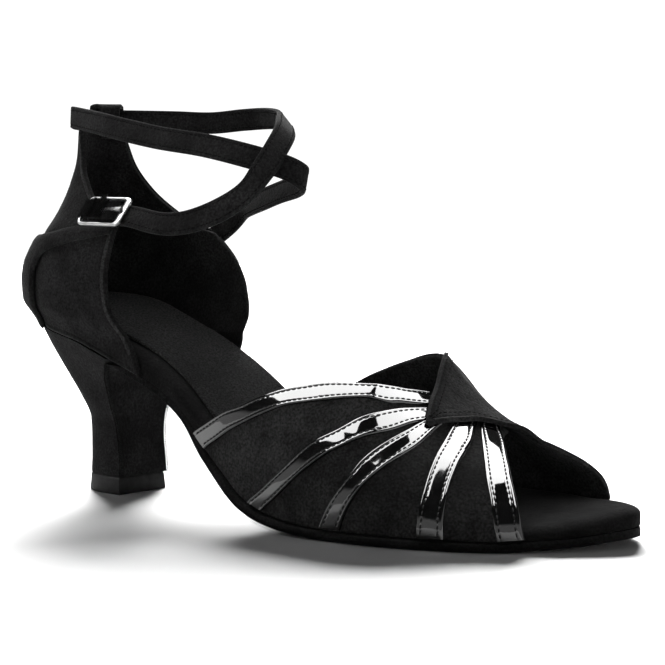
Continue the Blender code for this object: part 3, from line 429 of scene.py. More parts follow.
def heel_section(share, round_points=120, flat_points=40):
    """A closed D: flat across the breast, round at the back."""
    front, half, back = heel_sizes(share)
    turn = np.linspace(-math.pi / 2, math.pi / 2, round_points)
    depth = front + back
    power = 2 / (TIP_ROUNDNESS + (SEAT_ROUNDNESS - TIP_ROUNDNESS) * share)
    round_x = front - depth * drawn(np.cos(turn), power)
    round_y = half * drawn(np.sin(turn), power)
    flat_y = np.linspace(half, -half, flat_points + 2)[1:-1]
    x = np.concatenate([round_x, np.full(flat_points, front)])
    y = np.concatenate([round_y, flat_y])
    return x, y


# How far the outsole stands out past the board. Columns: share of LAST_LENGTH, share of OUTSOLE_MARGIN.
WELT = (
    (0.2, -0.3), (0.35, -0.2), (0.42, 0.95), (0.48, 1.4), (0.54, 1.35), (0.62, 1), (0.85, 1), (0.93, 0.45),
    (1, 0),
)

# The sole's rounded toe starts at this share of LAST_LENGTH, and its first section lies a little inside it.
TOE_ROUND = 0.93
TOE_FIRST = 0.06

# Past this share the sole keeps the slope that the toe spring gives it there.
TOE_LEVEL = 0.98
TOE_SLOPE = 0.1

# How far the cup's outer face stands out from CUP_FACE, as shares of CUP_BULGE.
# Columns: share of the way from SEAT_HEIGHT up to TAB_TOP, at the back, at the sides.
LEAN = (
    (0, 0, 0), (0.08, 0.8, 0.36), (0.17, 1.02, 0.5), (0.25, 1.05, 0.55), (0.32, 0.9, 0.5),
    (0.4, 0.42, 0.28), (0.47, -0.12, 0), (0.56, -0.65, -0.6), (0.69, -1.15, -1.25), (0.82, -1.5, -1.6),
    (1, -1.62, -1.72),
)

# Upper edge of the cup. Columns: share of the way from the back to the front edge, then the share of the way
# from EAR_TOP up to TAB_TOP on the outer and on the inner side.
TOPLINE = (
    (0, 1, 1), (0.27, 1, 1), (0.35, 0.96, 0.97), (0.41, 0.8, 0.83), (0.5, 0.58, 0.6), (0.62, 0.41, 0.38),
    (0.76, 0.24, 0.19), (0.9, 0.11, 0.04), (1, 0.07, 0),
)

# Front edges of the cup. Columns: share of the way up the edge, x of the outer edge and of the inner edge as
# shares of LAST_LENGTH.
CUP_FRONT = (
    (0, 0.263, 0.262), (0.13, 0.25, 0.272), (0.25, 0.23, 0.28), (0.4, 0.213, 0.282), (0.6, 0.21, 0.272),
    (0.8, 0.212, 0.25), (1, 0.212, 0.216),
)

# How fast the wall's lean passes from the back's column to the sides', and how fast the front edges curve.
SIDE_POWER = 1.6
FRONT_POWER = 1.5


def cup_point(arc, height, depth):
    """A point of the cup's wall: arc along the board's edge, height from the floor, depth outwards."""
    at, normal = EDGE.point(arc), EDGE.normal(arc)
    side = np.clip(np.abs(normal[..., 1]), 0, 1) ** SIDE_POWER
    share = np.clip((np.asarray(height) - SEAT_HEIGHT) / (TAB_TOP - SEAT_HEIGHT), 0, 1.1)
    lean = curve(LEAN, 1, share) * (1 - side) + curve(LEAN, 2, share) * side
    above = np.clip((height - board_bottom(at[..., 0])) / CUP_FOOT, 0, 1)
    out = GAP + depth + CUP_BULGE * lean * ease(above)
    return stack(at[..., 0] + normal[..., 0] * out, at[..., 1] + normal[..., 1] * out, height)


def cup_top(along):
    """Height of the cup's upper edge: along runs from -1, the outer front, to 1, the inner front."""
    outer = curve(TOPLINE, 1, np.abs(along))
    inner = curve(TOPLINE, 2, np.abs(along))
    return EAR_TOP + (TAB_TOP - EAR_TOP) * np.where(np.asarray(along) < 0, outer, inner)


def cup_arc(along, up):
    """Arc length of a place on the cup, whose front edges curve."""
    outer = EDGE.arc_at(place(curve(CUP_FRONT, 1, up)), -1)
    inner = EDGE.arc_at(place(curve(CUP_FRONT, 2, up)), 1)
    reach = np.where(along < 0, outer, inner)
    still = np.where(along < 0, EDGE.arc_at(place(CUP_SPAN), -1), EDGE.arc_at(place(CUP_SPAN), 1))
    return np.abs(along) * (still + (reach - still) * np.abs(along) ** FRONT_POWER)


def cup_grid(along, up, depth):
    """Points of the cup at shares of the way up from the board to its upper edge."""
    arc = cup_arc(along, up)
    foot = board_bottom(EDGE.point(arc)[..., 0]) + GAP
    return cup_point(arc, foot + (cup_top(along) - foot) * up, depth)


# Edges of the counter. Columns: share of the way from the back to the front edge, then its lower and its
# upper edge as shares of the way from SEAT_HEIGHT to EAR_TOP.
COUNTER = (
    (0, 0, 0.98), (0.34, 0, 0.98), (0.4, 0.1, 0.98), (0.44, 0.62, 0.99), (0.5, 0.8, 1), (0.7, 0.9, 1.06),
    (1, 0.98, 1.09),
)

# The height share of the cup's front edges that the counter follows.
BAND_HEIGHT = 0.9

# Back and front edges of the vamp's outer half. Columns: place across the foot, from -1 at the outer sole
# through 0 at the ridge to 1 at the inner sole, then the two edges' x as shares of LAST_LENGTH.
OUTER_HALF = (
    (-1, 0.392, 0.914), (-0.89, 0.444, 0.909), (-0.8, 0.48, 0.904), (-0.71, 0.515, 0.899),
    (-0.6, 0.562, 0.892), (-0.51, 0.611, 0.882), (-0.41, 0.67, 0.87), (-0.3, 0.704, 0.854),
    (-0.16, 0.724, 0.829), (-0.04, 0.736, 0.808), (0, 0.74, 0.803),
)

# The same for the inner half, whose lapel crosses over the outer half.
INNER_HALF = (
    (-0.355, 0.754, 0.759), (-0.302, 0.747, 0.764), (-0.242, 0.738, 0.771), (-0.177, 0.729, 0.779),
    (-0.115, 0.719, 0.785), (-0.074, 0.711, 0.793), (-0.033, 0.703, 0.805), (0, 0.696, 0.816),
    (0.1, 0.682, 0.832), (0.2, 0.668, 0.844), (0.28, 0.648, 0.857), (0.45, 0.598, 0.882),
    (0.73, 0.512, 0.904), (1, 0.43, 0.914),
)

# Between these places across the foot the vamp turns from its outer side's section to its fuller inner one.
FULLER_START, FULLER_END = 0.3, 0.9


def vamp_point(x, across, depth):
    """A point of the vamp: across runs from -1 at the outer sole to 1 at the inner sole, depth outwards."""
    x, across = np.asarray(x, float), np.asarray(across, float)
    share = share_of(x)
    ridge_y = curve(RIDGE, 1, share) * BALL_WIDTH
    ridge_z = board_top(x) + curve(RIDGE, 2, share) * INSTEP_HEIGHT + depth
    foot_z = board_bottom(x) + GAP
    out = GAP + depth
    edge_y = np.where(across < 0, EDGE.across(x, -1, out), EDGE.across(x, 1, out))
    turn = np.clip(1 - np.abs(across), 0, 1) * math.pi / 2
    full = np.clip((across - FULLER_START) / (FULLER_END - FULLER_START), 0, 1)
    power = 2 / (VAMP_ROUNDNESS + (INNER_ROUNDNESS - VAMP_ROUNDNESS) * ease(full))
    y = ridge_y + (edge_y - ridge_y) * np.cos(turn) ** power
    z = foot_z + (ridge_z - foot_z) * np.sin(turn) ** power
    return stack(x, y, z)


def half_grid(table, across, along):
    """x of a place on one half of the vamp: along runs from 0 at its back edge to 1 at its front edge."""
    back = place(curve(table, 1, across))
    front = place(curve(table, 2, across))
    return back + (front - back) * along


def lapel_lift(across):
    """How far the inner half stands off the last where it crosses over the outer half."""
    t = np.clip((LAPEL_LOW - across) / (LAPEL_LOW - LAPEL_LIFTED), 0, 1)
    return LAPEL_FACE * ease(t)


# Patent strips, from the sole up to under the lapel. Columns: along and across places of the strip's back
# edge, then of its front edge.
STRIPS = (
    (
        (0.392, -0.995, 0.42, -0.995), (0.428, -0.922, 0.456, -0.921), (0.48, -0.8, 0.503, -0.804),
        (0.545, -0.64, 0.569, -0.661), (0.61, -0.512, 0.638, -0.553), (0.675, -0.405, 0.696, -0.438),
        (0.704, -0.302, 0.716, -0.343), (0.722, -0.175, 0.735, -0.235),
    ),
    (
        (0.518, -0.995, 0.548, -0.995), (0.553, -0.933, 0.579, -0.941), (0.588, -0.851, 0.62, -0.847),
        (0.625, -0.747, 0.655, -0.76), (0.668, -0.64, 0.688, -0.675), (0.7, -0.5, 0.722, -0.52),
        (0.722, -0.355, 0.741, -0.375), (0.741, -0.235, 0.752, -0.295),
    ),
    (
        (0.653, -0.995, 0.687, -0.995), (0.668, -0.928, 0.698, -0.925), (0.691, -0.828, 0.716, -0.816),
        (0.708, -0.712, 0.733, -0.714), (0.728, -0.559, 0.752, -0.58), (0.74, -0.45, 0.762, -0.45),
        (0.748, -0.335, 0.762, -0.275),
    ),
    (
        (0.793, -0.995, 0.827, -0.995), (0.794, -0.85, 0.825, -0.85), (0.794, -0.723, 0.823, -0.72),
        (0.791, -0.6, 0.82, -0.6), (0.787, -0.494, 0.816, -0.49), (0.781, -0.361, 0.805, -0.275),
        (0.77, -0.222, 0.782, -0.115), (0.762, -0.165, 0.772, -0.06),
    ),
    (
        (0.887, -0.995, 0.914, -0.995), (0.88, -0.82, 0.906, -0.788), (0.871, -0.678, 0.895, -0.626),
        (0.856, -0.531, 0.878, -0.454), (0.837, -0.381, 0.859, -0.314), (0.813, -0.234, 0.829, -0.14),
        (0.784, -0.096, 0.796, -0.025), (0.776, -0.065, 0.786, -0.008),
    ),
)

# Where the strap starts on the inner ear. Columns: share of LAST_LENGTH, how far its middle lies below
# EAR_TOP as a share of STRAP_WIDTH, lean in degrees.
STRAP_EAR = (
    (0.13, 0.62, 0), (0.17, 0.35, 0), (0.222, -0.3, 0),
)

# Centre line of the ankle strap from the inner ear round the front, then back past the outer side.
# Columns: x as a share of ANKLE_LENGTH, y as a share of ANKLE_WIDTH, height as a share of TAB_TOP, and the
# degrees by which the strap's upper edge leans in over the ankle.
STRAP_FIRST = (
    (0.325, 0.465, 0.757, 0), (0.43, 0.3, 0.768, 0), (0.565, 0.1, 0.778, -5), (0.7, -0.06, 0.793, -10),
    (0.81, -0.16, 0.806, -10), (0.858, -0.245, 0.82, -8), (0.836, -0.34, 0.844, 0),
    (0.745, -0.42, 0.87, 10), (0.59, -0.465, 0.901, 20), (0.41, -0.47, 0.925, 20),
    (0.235, -0.43, 0.953, 15), (0.09, -0.35, 0.976, 5),
)

# Then from the tab forward along the inner side, across the front and down the outer side to the buckle.
STRAP_SECOND = (
    (0.065, 0.375, 0.996, 0), (0.2, 0.43, 0.989, 5), (0.34, 0.425, 0.992, 15), (0.475, 0.345, 0.989, 25),
    (0.61, 0.17, 0.976, 35), (0.705, -0.04, 0.957, 45), (0.775, -0.215, 0.93, 48),
    (0.808, -0.37, 0.887, 40), (0.812, -0.49, 0.836, 26), (0.772, -0.565, 0.779, 14),
    (0.675, -0.615, 0.735, 2), (0.545, -0.635, 0.711, 0), (0.43, -0.627, 0.718, 15),
)

# The strap's last places, along the buckle from its front: shares of half of BUCKLE_LENGTH.
STRAP_END = (1.5, 1.0, 0.5, 0.0)

# Over this share of the strap's length, near its end, it turns from its own lean to the buckle's.
TURN_START, TURN_LENGTH = 0.87, 0.075


def lean_in(path, degrees):
    """The direction of a strap's width: upright, then leaning in over the ankle by the given degrees."""
    along = np.gradient(path, axis=0)
    inward = unit(stack(along[:, 1], -along[:, 0], 0))
    turn = np.radians(degrees)[:, None]
    return np.array([0, 0, 1.0]) * np.cos(turn) + inward * np.sin(turn)


def laid_on_cup(arc, level, depth):
    """Middle of an upright strap whose lower edge lies against the cup: the wall leans in above it."""
    points = cup_point(arc, level - STRAP_WIDTH / 2, depth)
    points[:, 2] = level
    return points


def strap_line(samples):
    """Centre line and width direction of the ankle strap. Behind the tab it follows the cup's own wall."""
    size = np.array([ANKLE_LENGTH, ANKLE_WIDTH, TAB_TOP, 1])
    half = STRAP_THICKNESS / 2
    ear_level = EAR_TOP - np.array(column(STRAP_EAR, 1)) * STRAP_WIDTH
    ear = laid_on_cup(EDGE.arc_at(place(column(STRAP_EAR, 0)), 1), ear_level, BAND_FACE + half)
    behind_arcs = np.linspace(-TAB_REACH_OUTER, TAB_REACH_INNER, 11)
    behind = laid_on_cup(behind_arcs, np.full(11, STRAP_LEVEL), CUP_FACE + OVERLAY_GAP - GAP + half)
    centre, along, up, out = buckle_axes()
    line = centre - out * (BUCKLE_WIRE / 2 + GAP + half)
    bar = BUCKLE_LENGTH / 2 - BUCKLE_WIRE - TAB_THICKNESS - 3 * GAP
    steps = np.append(np.array(STRAP_END) * BUCKLE_LENGTH / 2, -bar)
    end = line + steps[:, None] * along
    rows = [
        np.column_stack([ear, column(STRAP_EAR, 2)]),
        np.array(STRAP_FIRST) * size,
        np.column_stack([behind, np.zeros(11)]),
        np.array(STRAP_SECOND) * size,
        np.column_stack([end, np.zeros(5)]),
    ]
    path = spline(np.concatenate(rows), samples, measured=3)
    turn = np.clip((np.linspace(0, 1, samples) - TURN_START) / TURN_LENGTH, 0, 1)[:, None]
    return path[:, :3], lean_in(path[:, :3], path[:, 3]) * (1 - turn) + up * turn


# The buckle's centre as shares of ANKLE_LENGTH, ANKLE_WIDTH and TAB_TOP, and the directions of its length
# and of its width.
BUCKLE_PLACE = (0.249, -0.603, 0.745)
BUCKLE_HEADING = (1.0, -0.09, -0.03)
BUCKLE_UP = (0.36, 0.55, 0.80)


def buckle_axes():
    """Centre, direction along the strap, direction across it and outward direction of the buckle."""
    centre = np.array(BUCKLE_PLACE) * np.array([ANKLE_LENGTH, ANKLE_WIDTH, TAB_TOP])
    along = unit(np.array(BUCKLE_HEADING))
    up = unit(np.array(BUCKLE_UP) - np.dot(BUCKLE_UP, along) * along)
    return centre, along, up, np.cross(along, up)


# The prong's places. Columns: share of the way from the buckle's middle to its back bar (negative) or its
# front bar, height as a share of the height at which it rests on the front bar.
PRONG = (
    (-1, 0.1), (-0.5, 0.25), (0.42, 0.8), (1, 1),
)


# Making pieces

# Stitches: distance from one to the next, length, radius, distance of a row from its edge.
STITCH_PITCH, STITCH_LENGTH, STITCH_RADIUS, STITCH_INSET = 1.95 * MM, 1.5 * MM, 0.33 * MM, 1.3 * MM

# A folded edge: width, height, distance from the border, height of its middle over the wall.
RIM_WIDTH, RIM_HEIGHT, RIM_INSET, RIM_LIFT = 1.5 * MM, 0.5 * MM, 1.0 * MM, 0.05 * MM

# Unevenness of all surfaces: the layers' sizes in metres with their shares, and a wall's own height.
WAVE_LAYERS = ((0.011, 0.5), (0.0047, 0.3), (0.0021, 0.2))
WALL_WAVES = 0.04 * MM

# A wall's creases fade out over this distance from its border.
FOLD_FADE = 2 * MM

# A stitched border: the groove's depth and reach, then the swelling beside it, whose place and reach are
# shares of the groove's inset.
GROOVE_DEPTH, GROOVE_REACH = 0.20 * MM, 0.35 * MM
SWELL_HEIGHT, SWELL_PLACE, SWELL_REACH = 0.22 * MM, 0.55, 0.35

# How much of a rolled edge's drop the outer and the inner face of a wall take.
OUTER_DROP, INNER_DROP = 0.62, 0.3

# Places near both ends of a run of shares, and where its even places start, in steps of its edge.
EDGE_STEPS, EVEN_FROM = np.array([0.0, 0.1, 0.3, 0.6, 1.0, 1.5, 2.1, 2.8]), 3.6


def put(name, data):
    """A new object in the scene."""
    thing = bpy.data.objects.new(name, data)
    bpy.context.scene.collection.objects.link(thing)
    return thing


def mesh_object(name, verts, faces, material, smooth_angle=40):
    """A named object from points and faces, with its faces turned outwards."""
    mesh = bpy.data.meshes.new(name)
    mesh.from_pydata([tuple(v) for v in verts], [], [tuple(f) for f in faces])
    work = bmesh.new()
    work.from_mesh(mesh)
    bmesh.ops.remove_doubles(work, verts=work.verts, dist=1e-6)
    bmesh.ops.dissolve_degenerate(work, edges=work.edges, dist=1e-7)
    bmesh.ops.recalc_face_normals(work, faces=work.faces)
    work.to_mesh(mesh)
    work.free()
    mesh.shade_smooth()
    mesh.set_sharp_from_angle(angle=math.radians(smooth_angle))
    mesh.materials.append(material)
    return put(name, mesh)


def many(name, verts, faces, material):
    """One object from many small copies: verts holds the points of each, faces is the same for all."""
    count, size = verts.shape[:2]
    mesh = bpy.data.meshes.new(name)
    whole = [tuple(i * size + k for k in face) for i in range(count) for face in faces]
    mesh.from_pydata(verts.reshape(-1, 3).tolist(), [], whole)
    mesh.shade_smooth()
    mesh.materials.append(material)
    return put(name, mesh)


def made(thing, slot, *nodes):
    """Puts a new piece on the shoe, in place of the solids that it stands for."""
    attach(thing, "root")
    if nodes:
        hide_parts(*nodes)
    return thing


def reach(points, axis):
    """How far each point of a grid lies from its two borders across one axis, whichever is nearer."""
    step = np.linalg.norm(np.diff(points, axis=axis), axis=-1)
    along = np.concatenate([np.zeros_like(np.take(step, [0], axis)), np.cumsum(step, axis=axis)], axis=axis)
    return np.minimum(along, np.take(along, [-1], axis) - along)


def rolled(distance, radius):
    """How far a rolled edge has dropped at a distance from its border, as a share of the radius."""
    t = np.clip(1 - distance / radius, 0, 1)
    return 1 - np.sqrt(1 - t * t)


def shares(count, edge=0.006):
    """Shares from 0 to 1 with extra places near both ends, for rolled edges."""
    ends = EDGE_STEPS * edge
    return np.concatenate([ends, np.linspace(EVEN_FROM * edge, 1 - EVEN_FROM * edge, count), 1 - ends[::-1]])


def waves(*places):
    """A gentle unevenness that has no pattern, from -1 to 1: places are in metres."""
    total = 0.0
    for turn, (size, share) in enumerate(WAVE_LAYERS):
        phase = sum(place * (1 + 0.37 * k) for k, place in enumerate(places)) * 2 * math.pi / size
        total = total + share * np.sin(phase + 1.7 * turn + 1.3 * np.sin(0.61 * phase + turn))
    return total


def bumps(u, v, folds):
    """Soft troughs and ridges. Columns of folds: u, v, reach in u, reach in v, slant, height."""
    total = np.zeros_like(u)
    for at_u, at_v, reach_u, reach_v, slant, height in folds:
        du = (u - at_u - slant * (v - at_v)) / reach_u
        dv = (v - at_v) / reach_v
        total = total + height * np.exp(-du * du - dv * dv)
    return total


def soft_wall(node, surface, u, v, thick, material, radius, folds=(), groove=0.0):
    """The wall of one node, closed and with rolled edges: surface(u, v, depth) gives its points.

    groove is the distance from the border at which its stitches press it in.
    """
    grid_u, grid_v = np.meshgrid(u, v, indexing="ij")
    flat = surface(grid_u, grid_v, np.full_like(grid_u, thick))
    distance = np.minimum(reach(flat, 0), reach(flat, 1))
    drop = rolled(distance, radius) * thick
    relief = WALL_WAVES * waves(flat[..., 0], flat[..., 1] + flat[..., 2])
    relief = relief + bumps(grid_u, grid_v, folds) * np.clip(distance / FOLD_FADE, 0, 1)
    if groove:
        relief = relief - GROOVE_DEPTH * bell(distance - groove, GROOVE_REACH)
        relief = relief + SWELL_HEIGHT * bell(distance - SWELL_PLACE * groove, SWELL_REACH * groove)
    outer = surface(grid_u, grid_v, thick - OUTER_DROP * drop + relief)
    inner = surface(grid_u, grid_v, INNER_DROP * drop)
    made(shell(node + "_suede", outer, inner, material), "suede", node)


def ribbon(name, centre, up, width, thickness, material):
    """A strap with rounded edges, pressed in along its stitches, swept along its centre line."""
    along = unit(np.gradient(centre, axis=0))
    up = unit(up - (up * along).sum(1)[:, None] * along)
    out = np.cross(along, up)
    turn = np.linspace(0, 2 * math.pi, 40, endpoint=False)
    u = drawn(np.cos(turn), 0.30) * width / 2
    v = drawn(np.sin(turn), 0.55) * thickness / 2
    v = v - np.sign(v) * 0.10 * thickness * bell(width / 2 - np.abs(u) - STITCH_INSET, 0.4 * MM)
    sections = centre[:, None] + up[:, None] * u[None, :, None] + out[:, None] * v[None, :, None]
    return loft(name, sections, material, 80), up, out


def rim(name, surface, line, across, wall, material):
    """A folded edge: a narrow raised band on surface(u, v, depth), by half the places of line and across."""
    picked = np.linspace(0, len(line) - 1, len(line) // 2).round().astype(int)
    line, across = line[picked], across[picked]
    path = surface(line, across, 0 * line + wall + RIM_LIFT)
    normals = unit(surface(line, across, 0 * line + wall + MM) - path)
    up = np.cross(normals, unit(np.gradient(path, axis=0)))
    # The rims take the lighter rim suede: a painted highlight along the folded edge.
    made(ribbon(name, path, up, RIM_WIDTH, RIM_HEIGHT, material)[0], "suede")


def tube_faces(rings, turns):
    """Faces of a tube, closed at both ends."""
    ends = [tuple(range(turns))[::-1], tuple((rings - 1) * turns + j for j in range(turns))]
    return grid_faces(rings, turns, wrap=True) + ends


def stitch_places(path, normals):
    """Evenly spaced places along a path, with the directions of the path and of the surface at each."""
    along = lengths(path)
    count = max(int(along[-1] / STITCH_PITCH), 2)
    at = (np.arange(count) + 0.5) * along[-1] / count
    near = 0.1 * STITCH_PITCH
    direction = unit(between(at + near, along, path) - between(at - near, along, path))
    normal = between(at, along, normals)
    normal = unit(normal - (normal * direction).sum(1)[:, None] * direction)
    return between(at, along, path), direction, normal


def seam(rows, surface, line, across, depth):
    """Adds the stitches of one row to rows: line and across are its places on surface(u, v, depth)."""
    path = surface(line, across, 0 * line + depth)
    normals = unit(surface(line, across, 0 * line + depth + MM) - path)
    rows.append(stitch_places(path, normals))


def sewn(name, rows, slot, material, thickness=1.0):
    """All the stitches of rows as one piece: short rounded threads, each along its own direction."""
    places, ways, outs = (np.concatenate(part) for part in zip(*rows))
    turns, rings = 6, 5
    side = np.cross(ways, outs)
    verts = []
    for ring in np.linspace(-math.pi / 2, math.pi / 2, rings):
        width = STITCH_RADIUS * thickness * max(math.cos(ring), 0.25)
        for turn in np.linspace(0, 2 * math.pi, turns, endpoint=False):
            across = side * (width * math.cos(turn)) + outs * (width * math.sin(turn))
            verts.append(places + ways * (STITCH_LENGTH / 2 * math.sin(ring)) + across)
    return made(many(name, np.stack(verts, axis=1), tube_faces(rings, turns), material), slot)


# A fibre's rings: share of its length, share of its thickness.
FIBRE_RINGS = ((0.0, 1.0), (0.55, 0.8), (1.0, 0.3))

# How far fibres lean from their own direction, how far they bend, and how short the shortest are.
FIBRE_LEAN, FIBRE_BEND, FIBRE_SHORTEST = 0.75, 0.3, 0.35

# No fibre reaches under this height.
FLOOR_CLEARANCE = 0.02 * MM


def spread(seed, count):
    """Evenly scattered numbers from 0 to 1 that are the same each time."""
    return (np.arange(count) * 0.6180339887 + seed * 0.3819660113) % 1.0


def fuzz(name, roots, outs, length, thickness, slot, material, seed):
    """Short suede fibres that stand out from roots, bent and scattered."""
    count = len(roots)
    lean = np.stack([spread(seed + k, count) * 2 - 1 for k in (0.13, 0.71, 0.37)], axis=1)
    way = unit(outs + FIBRE_LEAN * lean)
    side = unit(np.cross(way, [0.31, 0.17, 0.93]))
    other = np.cross(way, side)
    long = length * (FIBRE_SHORTEST + (1 - FIBRE_SHORTEST) * spread(seed + 0.5, count))[:, None]
    bend = lean * long * FIBRE_BEND
    verts = []
    for share, width in FIBRE_RINGS:
        middle = roots + way * long * share + bend * share * share
        for turn in (0, 2.094, 4.189):
            verts.append(middle + thickness * width * (side * math.cos(turn) + other * math.sin(turn)))
            verts[-1][:, 2] = np.maximum(verts[-1][:, 2], FLOOR_CLEARANCE)
    made(many(name, np.stack(verts, axis=1), tube_faces(3, 3), material), slot)


# Vamp

# Folds of the two vamp halves. Columns: u, v, reach in u, reach in v, slant, height.
OUTER_FOLDS = (
    (0.20, 0.45, 0.07, 0.22, 0.5, 0.30 * MM),
    (0.38, 0.60, 0.08, 0.20, -0.4, -0.28 * MM),
    (0.55, 0.35, 0.07, 0.20, 0.4, 0.28 * MM),
    (0.30, 0.80, 0.08, 0.15, 0.2, 0.22 * MM),
    (0.70, 0.75, 0.08, 0.15, -0.2, -0.22 * MM),
)
INNER_FOLDS = (
    (0.12, 0.55, 0.05, 0.25, 0.2, -0.22 * MM),
    (0.30, 0.25, 0.10, 0.20, 0.4, 0.30 * MM),
    (0.45, 0.55, 0.08, 0.25, -0.3, -0.30 * MM),
    (0.62, 0.30, 0.10, 0.20, 0.2, 0.28 * MM),
    (0.20, 0.70, 0.12, 0.20, -0.3, 0.20 * MM),
    (0.75, 0.70, 0.10, 0.20, 0.0, -0.25 * MM),
)

# The lapel's stitch rows: how far each lies from the edge, and how many of LAPEL_PLACES it passes.
LAPEL_ROWS = ((1.5 * MM, 400), (3.9 * MM, 240))
LAPEL_PLACES = np.linspace(0.03, 0.93, 400)
LAPEL_SEAM_DEPTH = VAMP_WALL - 0.05 * MM


def vamp_surface(table, lift):
    """A vamp half as surface(u, v, depth): u runs from its first row to its last, v from back to front."""
    first, last = table[0][0], table[-1][0]

    def surface(u, v, depth):
        across = first + (last - first) * u
        return vamp_point(half_grid(table, across, v), across, depth + lift(across))

    return surface


def vamp(suede, thread, highlight_rims):
    """Both halves of the vamp, with two stitch rows and a folded edge along the lapel."""
    outer = vamp_surface(OUTER_HALF, lambda across: 0 * across)
    inner = vamp_surface(INNER_HALF, lapel_lift)
    # suede here is the lighter copy of the black suede: painted fill light on the vamp.
    soft_wall("vamp_outer", outer, shares(150), shares(110), VAMP_WALL, suede, 0.9 * MM, OUTER_FOLDS)
    soft_wall(
        "vamp_inner", inner, shares(190), shares(100), VAMP_WALL, suede, 1.3 * MM, INNER_FOLDS, 1.5 * MM
    )
    rows = []
    u = LAPEL_PLACES
    width = np.linalg.norm(inner(u, 0 * u + 1, 0 * u) - inner(u, 0 * u, 0 * u), axis=1)
    width = np.maximum(width, 1e-4)
    for inset, last in LAPEL_ROWS:
        v = np.clip(inset / width, 0, 0.42)[:last]
        for across in (v, 1 - v):
            seam(rows, inner, u[:last], across, LAPEL_SEAM_DEPTH)
    sewn("lapel_stitches", rows, "suede", thread, thickness=0.8)
    inset = np.clip(RIM_INSET / width, 0, 0.4)
    # The lapel's rims are in the lighter rim suede: painted highlight.
    rim("lapel_rim_back", inner, u, inset, VAMP_WALL, highlight_rims)
    rim("lapel_rim_front", inner, u, 1 - inset, VAMP_WALL, highlight_rims)


# Profile across a patent strip up to its middle, and mirrored from there: share of its width, height as a
# share of STRIP_THICKNESS.
HALF_PROFILE = (
    (0.000, 0.10),
    (0.012, 0.50),
    (0.030, 0.82),
    (0.055, 0.98),
    (0.085, 1.03),
    (0.130, 1.00),
    (0.160, 0.92),
    (0.185, 0.86),
    (0.210, 0.92),
    (0.240, 0.99),
    (0.300, 1.01),
    (0.400, 1.015),
    (0.500, 1.02),
)
STRIP_PROFILE = HALF_PROFILE + tuple((1 - share, height) for share, height in HALF_PROFILE[-2::-1])

# Where a strip's stitch rows lie, and the dents that the stitches press into it.
STRIP_SEAMS = (0.185, 0.815)
DENT_DEPTH, DENT_REACH = 0.04 * MM, 0.03

# The strips' long, low unevenness.
SWAY_HEIGHT, SWAY_LENGTH = 0.04 * MM, 0.019


def strip_surface(rows):
    """A patent strip as surface(u, v, depth): u from the sole up to the lapel, v from back to front edge."""
    fine = spline(rows, 300)
    at = np.linspace(0, 1, len(fine))

    def surface(u, v, depth):
        edges = [np.interp(u, at, fine[:, k]) for k in range(4)]
        share = edges[0] + (edges[2] - edges[0]) * v
        across = edges[1] + (edges[3] - edges[1]) * v
        return vamp_point(place(share), across, STRIP_FACE + depth)

    return surface


def patent_strips(patent, thread):
    """The five strips with folded edges and a stitch row along each edge."""
    rows = []
    line = np.linspace(0.01, 0.99, 300)
    for number, table in enumerate(STRIPS, 1):
        surface = strip_surface(table)
        u, v = np.meshgrid(np.linspace(0, 1, 240), column(STRIP_PROFILE, 0), indexing="ij")
        height = np.broadcast_to(np.array(column(STRIP_PROFILE, 1)), u.shape) * STRIP_THICKNESS
        flat = surface(u, v, 0 * u)
        dents = np.cos(2 * math.pi * reach(flat, 0) / STITCH_PITCH)
        height = height - DENT_DEPTH * bell(np.abs(v - 0.5) - (0.5 - STRIP_SEAMS[0]), DENT_REACH) * dents
        sway = np.sin(flat[..., 2] * 2 * math.pi / SWAY_LENGTH + number) * np.sin(math.pi * v)
        height = height + SWAY_HEIGHT * sway
        strip = shell(f"strip_{number}", surface(u, v, height), surface(u, v, 0 * u), patent)
        made(strip, "patent", f"patent_strip_{number}")
        for share in STRIP_SEAMS:
            seam(rows, surface, line, 0 * line + share, 0.90 * STRIP_THICKNESS)
    sewn("strip_stitches", rows, "patent", thread)


# Heel cup, strap and loop

# Folds of the cup, in the columns of OUTER_FOLDS.
CUP_FOLDS = (
    (0.12, 0.45, 0.03, 0.30, 0.05, 0.35 * MM),
    (0.20, 0.30, 0.03, 0.25, -0.05, -0.35 * MM),
    (0.07, 0.25, 0.02, 0.20, 0.05, -0.25 * MM),
    (0.84, 0.45, 0.03, 0.30, 0.05, 0.35 * MM),
    (0.90, 0.30, 0.03, 0.20, -0.05, -0.30 * MM),
    (0.50, 0.80, 0.06, 0.12, 0.0, -0.25 * MM),
    (0.44, 0.90, 0.02, 0.10, 0.0, 0.20 * MM),
)

# Stitch rows of the cup: inset from its upper edge and depth in its wall, then the ears' rows and rims as
# shares of the way from the outer front edge to the inner one.
CUP_SEAM_INSET, CUP_SEAM_DEPTH = 2.2 * MM, QUARTER_WALL - 0.12 * MM
EAR_SEAMS = (0.022, 0.978)
EAR_RIMS = (("ear_rim_outer", 0.01), ("ear_rim_inner", 0.99))


def cup(u, v, depth):
    return cup_grid(2 * u - 1, v, depth)


def overlay(u, v, depth):
    """The counter as a surface: u from the outer ear round to BAND_END, v from its lower edge up."""
    along = -1 + (1 + BAND_END) * u
    rise = EAR_TOP - SEAT_HEIGHT
    top = SEAT_HEIGHT + rise * curve(COUNTER, 2, np.abs(along))
    top = np.minimum(top, cup_top(along) - COUNTER_RIM)
    still = cup_arc(along, np.full_like(along, BAND_HEIGHT))
    foot = board_bottom(EDGE.point(still)[..., 0]) + GAP
    bottom = np.maximum(foot, SEAT_HEIGHT + rise * curve(COUNTER, 1, np.abs(along)))
    return cup_point(still, bottom + (top - bottom) * v, COUNTER_FACE + depth)


